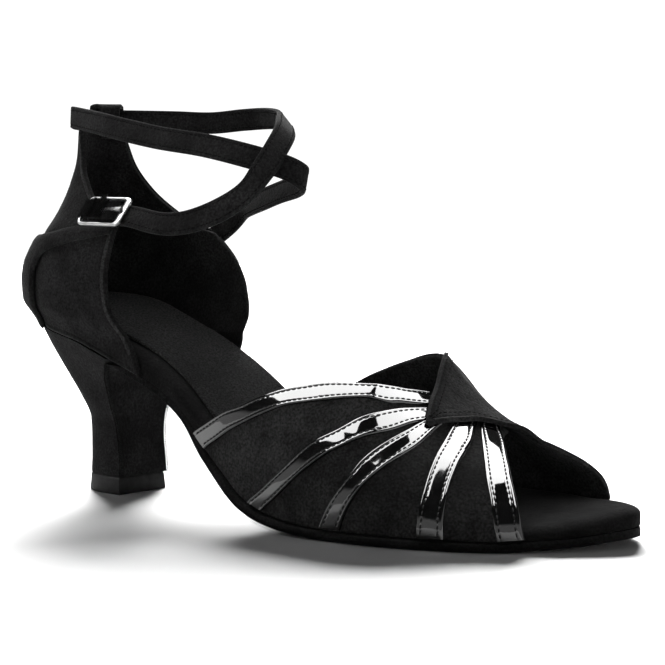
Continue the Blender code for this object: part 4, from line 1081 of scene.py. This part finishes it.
def heel_cup(suede, thread, highlight_rims):
    """The cup with its tab, and the counter laid round it, both with rolled edges."""
    soft_wall(
        "quarter", cup, shares(260, 0.003), shares(120), QUARTER_WALL, suede, 1.2 * MM, CUP_FOLDS, 2.2 * MM
    )
    soft_wall("counter", overlay, shares(290, 0.003), shares(60, 0.02), COUNTER_WALL, suede, 3.5 * MM)
    rows = []
    line, up = np.linspace(0.02, 0.98, 500), np.linspace(0.12, 0.95, 300)
    height = cup_top(2 * line - 1) - SEAT_HEIGHT
    seam(rows, cup, line, 1 - CUP_SEAM_INSET / height, CUP_SEAM_DEPTH)
    for side in EAR_SEAMS:
        seam(rows, cup, 0 * up + side, up, CUP_SEAM_DEPTH)
    sewn("cup_stitches", rows, "suede", thread, thickness=0.6)
    # The cup's rims are in the lighter rim suede: painted highlight.
    rim("topline_rim", cup, line, 1 - RIM_INSET / height, QUARTER_WALL, highlight_rims)
    for name, side in EAR_RIMS:
        rim(name, cup, 0 * up + side, up, QUARTER_WALL, highlight_rims)


# The strap's rows, and how many of the last are eased, over how many the easing sets in, how often, and how
# many rows to each side it takes the mean of.
STRAP_ROWS, EASED_ROWS, EASING_IN, EASING_TIMES, EASING_REACH = 700, 75, 20, 8, 5


def eased(rows):
    """The strap's rows with the last of them smoothed, the ends kept."""
    rows = rows.copy()
    fade = np.clip((np.arange(len(rows)) - len(rows) + EASED_ROWS) / EASING_IN, 0, 1)[1:-1, None]
    window = 2 * EASING_REACH + 1
    for _ in range(EASING_TIMES):
        wide = np.concatenate([rows[:1].repeat(EASING_REACH, 0), rows, rows[-1:].repeat(EASING_REACH, 0)])
        mean = sum(wide[k : k + len(rows)] for k in range(window)) / window
        rows[1:-1] += (mean[1:-1] - rows[1:-1]) * fade
    return rows


def strap(suede, thread):
    """The crossed ankle strap with a stitch row along both edges of both faces."""
    path, up = strap_line(STRAP_ROWS)
    path, up = eased(path), unit(eased(up))
    thing, up, out = ribbon("ankle_strap_suede", path, up, STRAP_WIDTH, STRAP_THICKNESS, suede)
    made(thing, "suede", "ankle_strap")
    rows = []
    for side in (-1, 1):
        for face in (-1, 1):
            inset = side * (STRAP_WIDTH / 2 - STITCH_INSET)
            line = path + up * inset + out * (face * STRAP_THICKNESS * 0.42)
            rows.append(stitch_places(line, out * face))
    sewn("strap_stitches", rows, "suede", thread, thickness=0.75)


def loop(suede):
    """The folded loop on the tab that the strap runs through."""
    half = LOOP_THICKNESS / 2
    top = STRAP_LEVEL + STRAP_WIDTH / 2
    low = STRAP_LEVEL - STRAP_WIDTH / 2
    outside = CUP_FACE + OVERLAY_GAP + STRAP_THICKNESS + half
    over = top + 2 * GAP + half
    path = (
        (CUP_FACE + half, low - LOOP_DROP_OUTSIDE),
        (CUP_FACE + half, low - GAP - LOOP_THICKNESS - GAP),
        (outside, low - GAP),
        (outside, top),
        (outside - half, over),
        (QUARTER_WALL / 2, over),
        (-GAP - half, top - LOOP_BEND),
        (-GAP - half, TAB_TOP - LOOP_DROP_INSIDE),
    )
    path = spline(path, 60)
    along = unit(np.gradient(path, axis=0))
    side = np.stack([-along[:, 1], along[:, 0]], axis=1)
    arcs = np.linspace(LOOP_START, LOOP_END, 40)
    edge = rolled(np.minimum(arcs - LOOP_START, LOOP_END - arcs), 0.9 * MM)
    sections = []
    for arc, drop in zip(arcs, edge):
        thin = half * (1 - 0.6 * drop)
        outline = np.concatenate([path + side * thin, (path - side * thin)[::-1]])
        depth, height = outline[:, 0], outline[:, 1]
        at = cup_point(np.full(len(outline), arc), np.minimum(height, low), depth)
        sections.append(stack(at[:, 0], at[:, 1], height))
    made(loft("strap_loop_suede", sections, suede, 60), "suede", "strap_loop")


# Bottom parts

# Places round the board's edge, and the sizes of the innermost rings on its two faces.
ROUND_ARCS = -np.linspace(0, EDGE.length, 420, endpoint=False)
INNERMOST = (0.7, 0.6, 0.5, 0.4, 0.3, 0.2, 0.1, 0.03)

# Unevenness of the board's suede and of the sock, and how far the board's rounded edge reaches in, as a
# share of BOARD_EDGE_RADIUS.
BOARD_WAVES, SOCK_WAVES, BOARD_EDGE_REACH = 0.10 * MM, 0.09 * MM, 1.9

# Rings of the sock's edge. Columns: inset, size, share of SOCK_THICKNESS.
SOCK_EDGE = (
    (0.00 * MM, 0.5, 0.00),
    (0.20 * MM, 1.0, 0.00),
    (0.00 * MM, 1.0, 0.20),
    (0.00 * MM, 1.0, 0.65),
    (0.15 * MM, 1.0, 0.85),
    (0.40 * MM, 1.0, 0.96),
)


def board(suede):
    """The covered board with its rounded upper edge, and the soft unevenness of its suede."""
    lower = edge_ring(ROUND_ARCS, 0, board_bottom)
    rings = [shrink(lower, 0.5, board_bottom), shrink(lower, 0.97, board_bottom)]
    rings.append(edge_ring(ROUND_ARCS, 0.3 * MM, board_bottom))
    for share in (0.06, 0.2, 0.5):
        side = edge_ring(ROUND_ARCS, 0, board_bottom)
        top = board_edge(side[:, 0], side[:, 1], 1.0)
        side[:, 2] += (top - side[:, 2]) * share
        rings.append(side)
    for degrees in range(0, 91, 10):
        turn = math.radians(degrees)
        inset = BOARD_EDGE_REACH * BOARD_EDGE_RADIUS * (1 - math.cos(turn))
        fall = 1 - math.sin(turn)
        rings.append(edge_ring(ROUND_ARCS, inset, lambda x, y: board_edge(x, y, fall)))
    last = rings[-1]
    for share in (0.97, 0.93, 0.87, 0.8) + INNERMOST:
        ring = shrink(last, share, board_top)
        ring[:, 2] += BOARD_WAVES * waves(ring[:, 0], 1.3 * ring[:, 1])
        rings.append(ring)
    made(rings_solid("insole_board_suede", rings, suede), "suede", "insole_board")


def sock(felt):
    """The felted pad on the board, from the heel to under the vamp."""
    front = place(SOCK_END)

    def low(x, y):
        return board_top(x, y) + GAP

    def laid(inset, share, lift):
        ring = shrink(edge_ring(ROUND_ARCS, SOCK_INSET + inset, low), share, low)
        x = np.minimum(ring[:, 0], front - inset)
        wave = SOCK_WAVES * waves(x, ring[:, 1]) if lift else 0.0
        return stack(x, ring[:, 1], low(x, ring[:, 1]) + lift * SOCK_THICKNESS + wave)

    rings = [laid(*row) for row in SOCK_EDGE]
    for share in (0.99, 0.96, 0.92, 0.86, 0.78) + INNERMOST:
        rings.append(laid(SOCK_EDGE[-1][0], share, 1.0))
    pad = made(rings_solid("insole_sock_felt", rings, felt), "felt", "insole_sock")


# The height share at which the sole's sheet on the breast starts.
BREAST_START = 0.93

# How far the sole's margin draws in at the tip of the toe, and over how many toe lengths it does so.
TOE_MARGIN, TOE_TAPER = -0.7 * MM, 1.5

# Unevenness of the sole's cut edge, and its first sections at the toe that have no fibres.
SOLE_NICKS, BARE_SECTIONS = 0.12 * MM, 34

# A section's trimmed edge: places near it, share of the thickness left there, width of the trimming.
TRIM_PLACES, TRIM_LEFT, TRIM_WIDTH = np.array([0, 0.004, 0.012]), 0.72, 0.012

# Fibres along the sole's edge: how many at each place, how far they scatter, length, thickness.
SOLE_FIBRES, SOLE_SCATTER = 8, np.array([1.2 * MM, 0, 1.4 * MM])
SOLE_FIBRE_LENGTH, SOLE_FIBRE_THICKNESS = 1.5 * MM, 0.07 * MM


def sole_rows():
    """Where the sole's sections lie: the upper face's left and right end, and the way down through it."""
    toe, shoulder = place(1.0), place(TOE_ROUND)
    breast = BREAST_LENGTH - SEAT_SETBACK + GAP
    curved_x = toe - (toe - shoulder) * (1 - np.cos(np.linspace(TOE_FIRST / 2, math.pi / 2, 60)))
    straight_x = np.linspace(shoulder, breast + SOLE_TURN, 260)[1:]
    for x in np.concatenate([curved_x, straight_x]):
        margin = OUTSOLE_MARGIN * curve(WELT, 1, share_of(x))
        tapered = min(1.0, (toe - x) / (toe - shoulder) / TOE_TAPER)
        margin = margin * tapered + TOE_MARGIN * (1 - tapered)
        slope = TOE_SLOPE
        if x < place(TOE_LEVEL):
            slope = (board_bottom(x + MM) - board_bottom(x - MM)) / (2 * MM)
        tilt = math.atan(slope)
        down = np.array([math.sin(tilt), 0, -math.cos(tilt)]) * OUTSOLE_THICKNESS
        left, right = (np.array([x, EDGE.across(x, side, margin), board_bottom(x) - GAP]) for side in (-1, 1))
        yield left, right, down


def sheet_section(left, right, down):
    """A thin section with trimmed, slightly rounded edges: across the top, then back underneath."""
    across = np.concatenate([TRIM_PLACES, np.linspace(0.03, 0.97, 17), 1 - TRIM_PLACES[::-1]])
    near = np.minimum(across, 1 - across) / TRIM_WIDTH
    thin = np.minimum(1, TRIM_LEFT + (1 - TRIM_LEFT) * np.sqrt(near))[:, None]
    middle = left + (right - left) * across[:, None] + down / 2
    return np.concatenate([middle - down * thin / 2, (middle + down * thin / 2)[::-1]])


def sole(suede):
    """The suede sole running down the heel's breast, with the fibres of its roughened edge."""
    sections, edges, outs = [], [], []
    for left, right, down in sole_rows():
        nick = SOLE_NICKS * waves(left[0], left[1])
        left, right = left + [0, -nick, 0], right + [0, nick, 0]
        sections.append(sheet_section(left, right, down))
        edges.append([left + down * 0.75, right + down * 0.75])
        outs.append([[0, -1, -0.5], [0, 1, -0.5]])
    for share in np.linspace(BREAST_START, 0.0, 70):
        front, half, _ = heel_sizes(share)
        inner = front + GAP
        z = heel_height(share, inner)
        left, right = np.array([inner, -half, z]), np.array([inner, half, z])
        down = np.array([BREAST_SHEET, 0, 0])
        sections.append(sheet_section(left, right, down))
        edges.append([left + down, right + down])
        outs.append([[0.5, -1, 0], [0.5, 1, 0]])
    made(loft("outsole_suede", sections, suede, 60), "sole_suede", "outsole")
    edges = np.array(edges)[BARE_SECTIONS:].reshape(-1, 3)
    outs = unit(np.array(outs)[BARE_SECTIONS:].reshape(-1, 3)).repeat(SOLE_FIBRES, axis=0)
    roots = edges.repeat(SOLE_FIBRES, axis=0)
    roots = roots + (spread(0.2, len(roots))[:, None] - 0.5) * SOLE_SCATTER
    fuzz("sole_fuzz", roots, outs, SOLE_FIBRE_LENGTH, SOLE_FIBRE_THICKNESS, "sole_suede", suede, 0.4)


# The heel's rounded ends: how far its surface draws in at the tip and at the seat, and over which shares.
HEEL_FOOT_PULL, HEEL_FOOT_END = 0.016, 0.014
HEEL_SEAT_PULL, HEEL_SEAT_START = 0.010, 0.97

# Rings of the tip. Columns: share of its height, how far it stands out past its own flare.
TIP_RINGS = ((0.0, -0.020), (0.03, -0.006), (0.08, 0.0), (0.90, 0.0), (0.97, -0.010), (1.0, -0.030))


def heel(suede, plastic):
    """The covered heel and its tip with worn, rounded edges."""
    sections = []
    for share in np.concatenate([[0.0, 0.006, 0.014], np.linspace(0.03, 0.97, 60), [0.99, 1.0]]):
        x, y = heel_section(share)
        pull = 1 - HEEL_FOOT_PULL * max(0.0, 1 - share / HEEL_FOOT_END)
        pull -= HEEL_SEAT_PULL * max(0.0, (share - HEEL_SEAT_START) / (1 - HEEL_SEAT_START))
        sections.append(stack(x * pull, y * pull, heel_height(share, x)))
    made(loft("heel_suede", sections, suede), "suede", "heel_block")
    x, y = heel_section(0.0)
    flare = (TIP_WIDTH / 2) / (TIP_WIDTH / 2 - TIP_MARGIN)
    rings = []
    for height, size in TIP_RINGS:
        grow = flare + (1 - flare) * height + size
        rings.append(stack(x * grow, y * grow, TIP_THICKNESS * height))
    made(loft("heel_tip_plastic", rings, plastic), "tip", "heel_tip")


# Buckle

# Width of the frame's bars seen from outside, as shares of BUCKLE_WIRE: the front bar is a broad flat one.
FRONT_BAR, OTHER_BARS = 1.75, 0.72

# Where the bars start to broaden, and over which share of half of BUCKLE_LENGTH they do.
BROAD_START, BROAD_REACH = 0.70, 0.22

# Fibres inside the frame: how many, how much of its length and of STRAP_WIDTH they cover, where they start
# along it, the height of their roots, their length and thickness.
BUCKLE_FIBRES, FIBRES_LONG, FIBRES_WIDE, FIBRES_FROM = 1500, 0.90, 0.96, 0.49
FIBRES_LIFT, BUCKLE_FIBRE_LENGTH, BUCKLE_FIBRE_THICKNESS = 1.2 * MM, 2.4 * MM, 0.09 * MM


def buckle_frame(axes, chrome):
    """The buckle's frame with its broad front bar."""
    centre, along, up, out = axes
    length = BUCKLE_LENGTH
    height = STRAP_WIDTH + 2 * BUCKLE_CLEARANCE + 2 * BUCKLE_WIRE
    path = []
    for i, (u, v) in enumerate(((1, 1), (-1, 1), (-1, -1), (1, -1))):
        middle = np.array([u * (length / 2 - BUCKLE_CORNER), v * (height / 2 - BUCKLE_CORNER)])
        for turn in i * math.pi / 2 + np.linspace(0, math.pi / 2, 14):
            path.append(middle + BUCKLE_CORNER * np.array([math.cos(turn), math.sin(turn)]))
    path = resample(np.array(path + path[:1]), 180, closed=True)
    tangent = unit(np.roll(path, -1, axis=0) - np.roll(path, 1, axis=0))
    inward = np.stack([-tangent[:, 1], tangent[:, 0]], axis=1)
    broad = ease(np.clip((path[:, 0] / (length / 2) - BROAD_START) / BROAD_REACH, 0, 1))
    width = BUCKLE_WIRE * (OTHER_BARS + (FRONT_BAR - OTHER_BARS) * broad)
    sections = []
    for turn in np.linspace(0, 2 * math.pi, 20, endpoint=False):
        deep = drawn(np.sin(turn), 0.75) * BUCKLE_WIRE / 2
        flat = path + inward * (width * (1 - drawn(np.cos(turn), 0.6)) / 2)[:, None]
        sections.append(centre + flat[:, :1] * along + flat[:, 1:] * up + deep * out)
    rings = np.stack(sections, axis=1)
    rows, cols = rings.shape[:2]
    faces = [tuple(index % (rows * cols) for index in face) for face in grid_faces(rows + 1, cols, wrap=True)]
    made(mesh_object("buckle_frame_chrome", rings.reshape(-1, 3), faces, chrome, 50), "metal", "buckle_frame")


def buckle(chrome, suede):
    """The buckle: its frame, its prong, the folded tab that holds it, and the fibres inside it."""
    axes = centre, along, up, out = buckle_axes()
    buckle_frame(axes, chrome)
    back = BUCKLE_LENGTH / 2 - BUCKLE_WIRE - TAB_THICKNESS - 3 * GAP
    front = (BUCKLE_LENGTH - BUCKLE_WIRE) / 2
    over = BUCKLE_WIRE / 2 + GAP + PRONG_THICKNESS / 2
    points = []
    for share, rise in PRONG:
        points.append(centre + along * share * (back if share < 0 else front) + out * over * rise)
    prong = ribbon("prong_chrome", spline(points, 40), out, PRONG_THICKNESS, PRONG_WIDTH, chrome)[0]
    made(prong, "metal", "buckle_prong")
    bar = centre - along * front
    radius = BUCKLE_WIRE / 2 + GAP + TAB_THICKNESS / 2
    fold = []
    for turn in np.radians(range(35, -91, -12)):
        fold.append(bar + along * radius * math.cos(turn) + out * radius * math.sin(turn))
    fold.append(bar - along * TAB_LENGTH / 2 - out * radius)
    fold.append(bar - along * TAB_LENGTH - out * radius * TAB_CLOSING)
    tab = ribbon("buckle_tab_suede", spline(fold, 90), up, TAB_WIDTH, TAB_THICKNESS, suede)[0]
    made(tab, "suede", "buckle_tab")
    at_u = (spread(0.3, BUCKLE_FIBRES) * FIBRES_LONG - FIBRES_FROM) * (BUCKLE_LENGTH - 2 * BUCKLE_WIRE)
    at_v = (np.arange(BUCKLE_FIBRES) / BUCKLE_FIBRES - 0.5) * (STRAP_WIDTH * FIBRES_WIDE)
    roots = centre + at_u[:, None] * along + at_v[:, None] * up + out * FIBRES_LIFT
    outs = np.broadcast_to(out, roots.shape)
    fuzz("buckle_fuzz", roots, outs, BUCKLE_FIBRE_LENGTH, BUCKLE_FIBRE_THICKNESS, "suede", suede, 0.9)


# Materials

# Suedes. Columns: tone of the darkest and of the lightest patches, depth of the nap, sheen.
SUEDES = {
    "black_suede": (0.0050, 0.011, 0.20 * MM, 0.035),
    "sole_suede": (0.004, 0.010, 0.28 * MM, 0.02),
    # The rims' suede is a lighter copy of the black suede with more sheen: painted highlight on the folded
    # edges, which catch the light.
    "rim_highlight_suede": (0.011, 0.022, 0.12 * MM, 0.05),
    "suede_thread": (0.002, 0.005, 0.05 * MM, 0.01),
    # The board's suede is a darker copy of the black suede with less sheen: partly its own tone, partly
    # painted shade where the vamp shades the board's top.
    "board_suede": (0.0025, 0.0065, 0.22 * MM, 0.01),
    # The vamp's suede is a lighter copy of the black suede: painted fill light on the vamp, which faces away
    # from the lamps behind the shoe.
    "vamp_suede_painted_fill": (0.010, 0.024, 0.22 * MM, 0.035),
}
SUEDE_ROUGHNESS, SUEDE_SPECULAR, SUEDE_SHEEN_ROUGHNESS = 0.9, 0.012, 0.3

# Smooth materials. Columns: roughness, metallic, specular level, then scale and detail of the noise in the
# tone, its darkest and lightest tone, then scale and detail of the noise in the grain, its strength, depth.
SMOOTH = {
    "patent_leather": (0.05, 0, 0.5, 300, 3, 0.002, 0.005, 160, 2, 0.06, 0.3 * MM),
    "black_thread": (0.7, 0, 0.05, 3000, 2, 0.004, 0.016, 6000, 1, 0.4, 0.05 * MM),
    "buckle_chrome": (0.28, 1, 0.5, 250, 2, 0.15, 0.30, 900, 2, 0.10, 0.1 * MM),
    "tip_plastic": (0.6, 0, 0.06, 400, 3, 0.004, 0.011, 1500, 3, 0.3, 0.1 * MM),
}


def noise(tree, scale, detail):
    texture = tree.nodes.new("ShaderNodeTexNoise")
    texture.inputs["Scale"].default_value = scale
    texture.inputs["Detail"].default_value = detail
    places = tree.nodes.new("ShaderNodeTexCoord")
    tree.links.new(places.outputs["Object"], texture.inputs["Vector"])
    return texture.outputs["Fac"]


def ramp(tree, factor, *stops):
    """A tone that follows the factor between two stops, each a position and a tone."""
    node = tree.nodes.new("ShaderNodeValToRGB")
    for element, (position, tone) in zip(node.color_ramp.elements, stops):
        element.position = position
        element.color = (tone, tone, tone, 1)
    tree.links.new(factor, node.inputs["Fac"])
    return node.outputs["Color"]


def times(tree, first, second):
    """Both colours multiplied. Sockets 6, 7 and output 2 of the node are its colours."""
    node = tree.nodes.new("ShaderNodeMix")
    node.data_type = "RGBA"
    node.blend_type = "MULTIPLY"
    node.inputs["Factor"].default_value = 1.0
    tree.links.new(first, node.inputs[6])
    tree.links.new(second, node.inputs[7])
    return node.outputs[2]


def bump(tree, height, strength, distance, normal=None):
    node = tree.nodes.new("ShaderNodeBump")
    node.inputs["Strength"].default_value = strength
    node.inputs["Distance"].default_value = distance
    tree.links.new(height, node.inputs["Height"])
    if normal is not None:
        tree.links.new(normal, node.inputs["Normal"])
    return node.outputs["Normal"]


def surface_of(name, roughness, metallic, specular):
    """A new material, its node tree and its shader."""
    new = bpy.data.materials.new(name)
    new.use_nodes = True
    shader = new.node_tree.nodes["Principled BSDF"]
    shader.inputs["Roughness"].default_value = roughness
    shader.inputs["Metallic"].default_value = metallic
    shader.inputs["Specular IOR Level"].default_value = specular
    return new, new.node_tree, shader


def suede_material(name):
    """Short-napped suede: brushed patches, a fine mottle and a soft sheen."""
    dark, light, nap, sheen = SUEDES[name]
    new, tree, shader = surface_of(name, SUEDE_ROUGHNESS, 0.0, SUEDE_SPECULAR)
    patches = ramp(tree, noise(tree, 70, 4), (0.36, dark), (0.66, light))
    mottle = ramp(tree, noise(tree, 1250, 6), (0.36, 0.55), (0.68, 1.7))
    tree.links.new(times(tree, patches, mottle), shader.inputs["Base Color"])
    fibres = bump(tree, noise(tree, 4200, 3), 0.6, nap)
    brushed = bump(tree, noise(tree, 800, 4), 0.8, 1.5 * nap, fibres)
    tree.links.new(bump(tree, noise(tree, 170, 3), 0.3, 2.5 * nap, brushed), shader.inputs["Normal"])
    shader.inputs["Sheen Weight"].default_value = sheen
    shader.inputs["Sheen Roughness"].default_value = SUEDE_SHEEN_ROUGHNESS
    return new


def smooth_material(name):
    """Patent leather, thread, chrome or plastic, with an uneven tone and a faint grain."""
    roughness, metallic, specular, *tone, dark, light, scale, detail, strength, depth = SMOOTH[name]
    new, tree, shader = surface_of(name, roughness, metallic, specular)
    tree.links.new(ramp(tree, noise(tree, *tone), (0.3, dark), (0.7, light)), shader.inputs["Base Color"])
    tree.links.new(bump(tree, noise(tree, scale, detail), strength, depth), shader.inputs["Normal"])
    return new


def felt_material():
    """The sock's short felted pile, with paler fibres and a soft sheen."""
    new, tree, shader = surface_of("sock_felt", 0.95, 0.0, SUEDE_SPECULAR)
    pile = ramp(tree, noise(tree, 1500, 6), (0.34, 0.004), (0.70, 0.045))
    worn = ramp(tree, noise(tree, 45, 2), (0.3, 0.7), (0.7, 1.2))
    tree.links.new(times(tree, pile, worn), shader.inputs["Base Color"])
    tree.links.new(bump(tree, noise(tree, 2400, 4), 0.8, 0.2 * MM), shader.inputs["Normal"])
    shader.inputs["Sheen Weight"].default_value = 0.012
    return new


# Floor, light and camera

# Half the floor's side, and its tone.
FLOOR_SIZE, FLOOR_TONE = 5.0, 0.82

# The sky's tone by the upward part of its direction: white low down, then dark, so that the patent has
# edges to mirror.
SKY_WHITE, SKY_DARK = (0.17, 1.1), (0.24, 0.06)

# Rectangles of light overhead, where the patent strips mirror them. Columns: name, centre, direction of the
# first side, lengths of both sides.
SOFTBOXES = (
    ("softbox_left", (-0.475, -0.05, 1.25), (1, 0, 0), (1.45, 2.40)),
    ("softbox_corner", (-0.80, -1.575, 1.25), (1, 0, 0), (0.80, 0.65)),
    ("softbox_right", (0.917, 0.156, 1.26), (0.636, -0.772, 0.0), (1.5, 1.0)),
)
SOFTBOX_RADIANCE = 20.0

# The window behind the shoe: the direction that its light comes from, its strength, its width in degrees.
WINDOW_FROM, WINDOW_STRENGTH, WINDOW_WIDTH = (-0.57, 0.69, 0.45), 20.5, 33

# The camera: where it stands, the sideways and upward directions of its picture, and its lens.
CAMERA_PLACE = (0.4702, -0.4620, 0.0949)
CAMERA_RIGHT = (0.77214, 0.63545, 0.00065)
CAMERA_UP = (-0.04804, 0.05736, 0.99720)
CAMERA_LENS = 93.27
CAMERA_SHIFT = (0.0462, 0.0563)


def aim(thing, centre, right, up):
    """Stands a thing at its centre, its own x along right and its own y along up."""
    turn = Matrix((right, up, right.cross(up))).transposed()
    thing.matrix_world = Matrix.Translation(centre) @ turn.to_4x4()


def floor():
    mesh = bpy.data.meshes.new("floor")
    corners = [(x * FLOOR_SIZE, y * FLOOR_SIZE, 0) for x, y in ((-1, -1), (1, -1), (1, 1), (-1, 1))]
    mesh.from_pydata(corners, [], [(0, 1, 2, 3)])
    ground, _, shader = surface_of("studio_floor", 0.8, 0.0, 0.0)
    shader.inputs["Base Color"].default_value = (FLOOR_TONE, FLOOR_TONE, FLOOR_TONE, 1)
    mesh.materials.append(ground)
    put("floor", mesh)


def sky():
    world = bpy.data.worlds.new("studio")
    world.use_nodes = True
    bpy.context.scene.world = world
    tree = world.node_tree
    split = tree.nodes.new("ShaderNodeSeparateXYZ")
    tree.links.new(tree.nodes.new("ShaderNodeTexCoord").outputs["Generated"], split.inputs[0])
    tone = ramp(tree, split.outputs["Z"], SKY_WHITE, SKY_DARK)
    tree.links.new(tone, tree.nodes["Background"].inputs["Color"])


def softbox(name, centre, across, size):
    """A rectangle of light overhead, facing down, that shows in gloss alone."""
    data = bpy.data.lights.new(name, "AREA")
    data.shape = "RECTANGLE"
    data.size, data.size_y = size
    data.energy = SOFTBOX_RADIANCE * math.pi * size[0] * size[1]
    thing = put(name, data)
    side = Vector(across).normalized()
    aim(thing, centre, side, Vector((0, 0, 1)).cross(side))
    thing.visible_diffuse = False
    thing.visible_camera = False


def window():
    data = bpy.data.lights.new("window", "SUN")
    data.energy = WINDOW_STRENGTH
    data.angle = math.radians(WINDOW_WIDTH)
    thing = put("window", data)
    thing.rotation_mode = "QUATERNION"
    thing.rotation_quaternion = Vector(WINDOW_FROM).to_track_quat("Z", "Y")
    thing.visible_glossy = False


def camera():
    data = bpy.data.cameras.new("camera")
    data.sensor_width = 36
    data.lens = CAMERA_LENS
    data.shift_x, data.shift_y = CAMERA_SHIFT
    data.clip_start = 0.01
    thing = put("camera", data)
    aim(thing, CAMERA_PLACE, Vector(CAMERA_RIGHT), Vector(CAMERA_UP))
    bpy.context.scene.camera = thing


def main():
    camera()
    floor()
    sky()
    for row in SOFTBOXES:
        softbox(*row)
    window()
    suedes = {name: suede_material(name) for name in SUEDES}
    smooths = {name: smooth_material(name) for name in SMOOTH}
    # The rims' suede is lighter than the black suede: painted highlight on the folded edges.
    black, seams, highlight_rims = suedes["black_suede"], suedes["suede_thread"], suedes["rim_highlight_suede"]
    # The vamp takes the lighter suede: painted fill light.
    vamp(suedes["vamp_suede_painted_fill"], seams, highlight_rims)
    patent_strips(smooths["patent_leather"], smooths["black_thread"])
    heel_cup(black, seams, highlight_rims)
    strap(black, seams)
    loop(black)
    # The board's darker suede is partly painted shade under the vamp.
    board(suedes["board_suede"])
    sock(felt_material())
    sole(suedes["sole_suede"])
    heel(black, smooths["tip_plastic"])
    buckle(smooths["buckle_chrome"], black)
    bpy.context.scene.view_settings.view_transform = "Standard"


main()
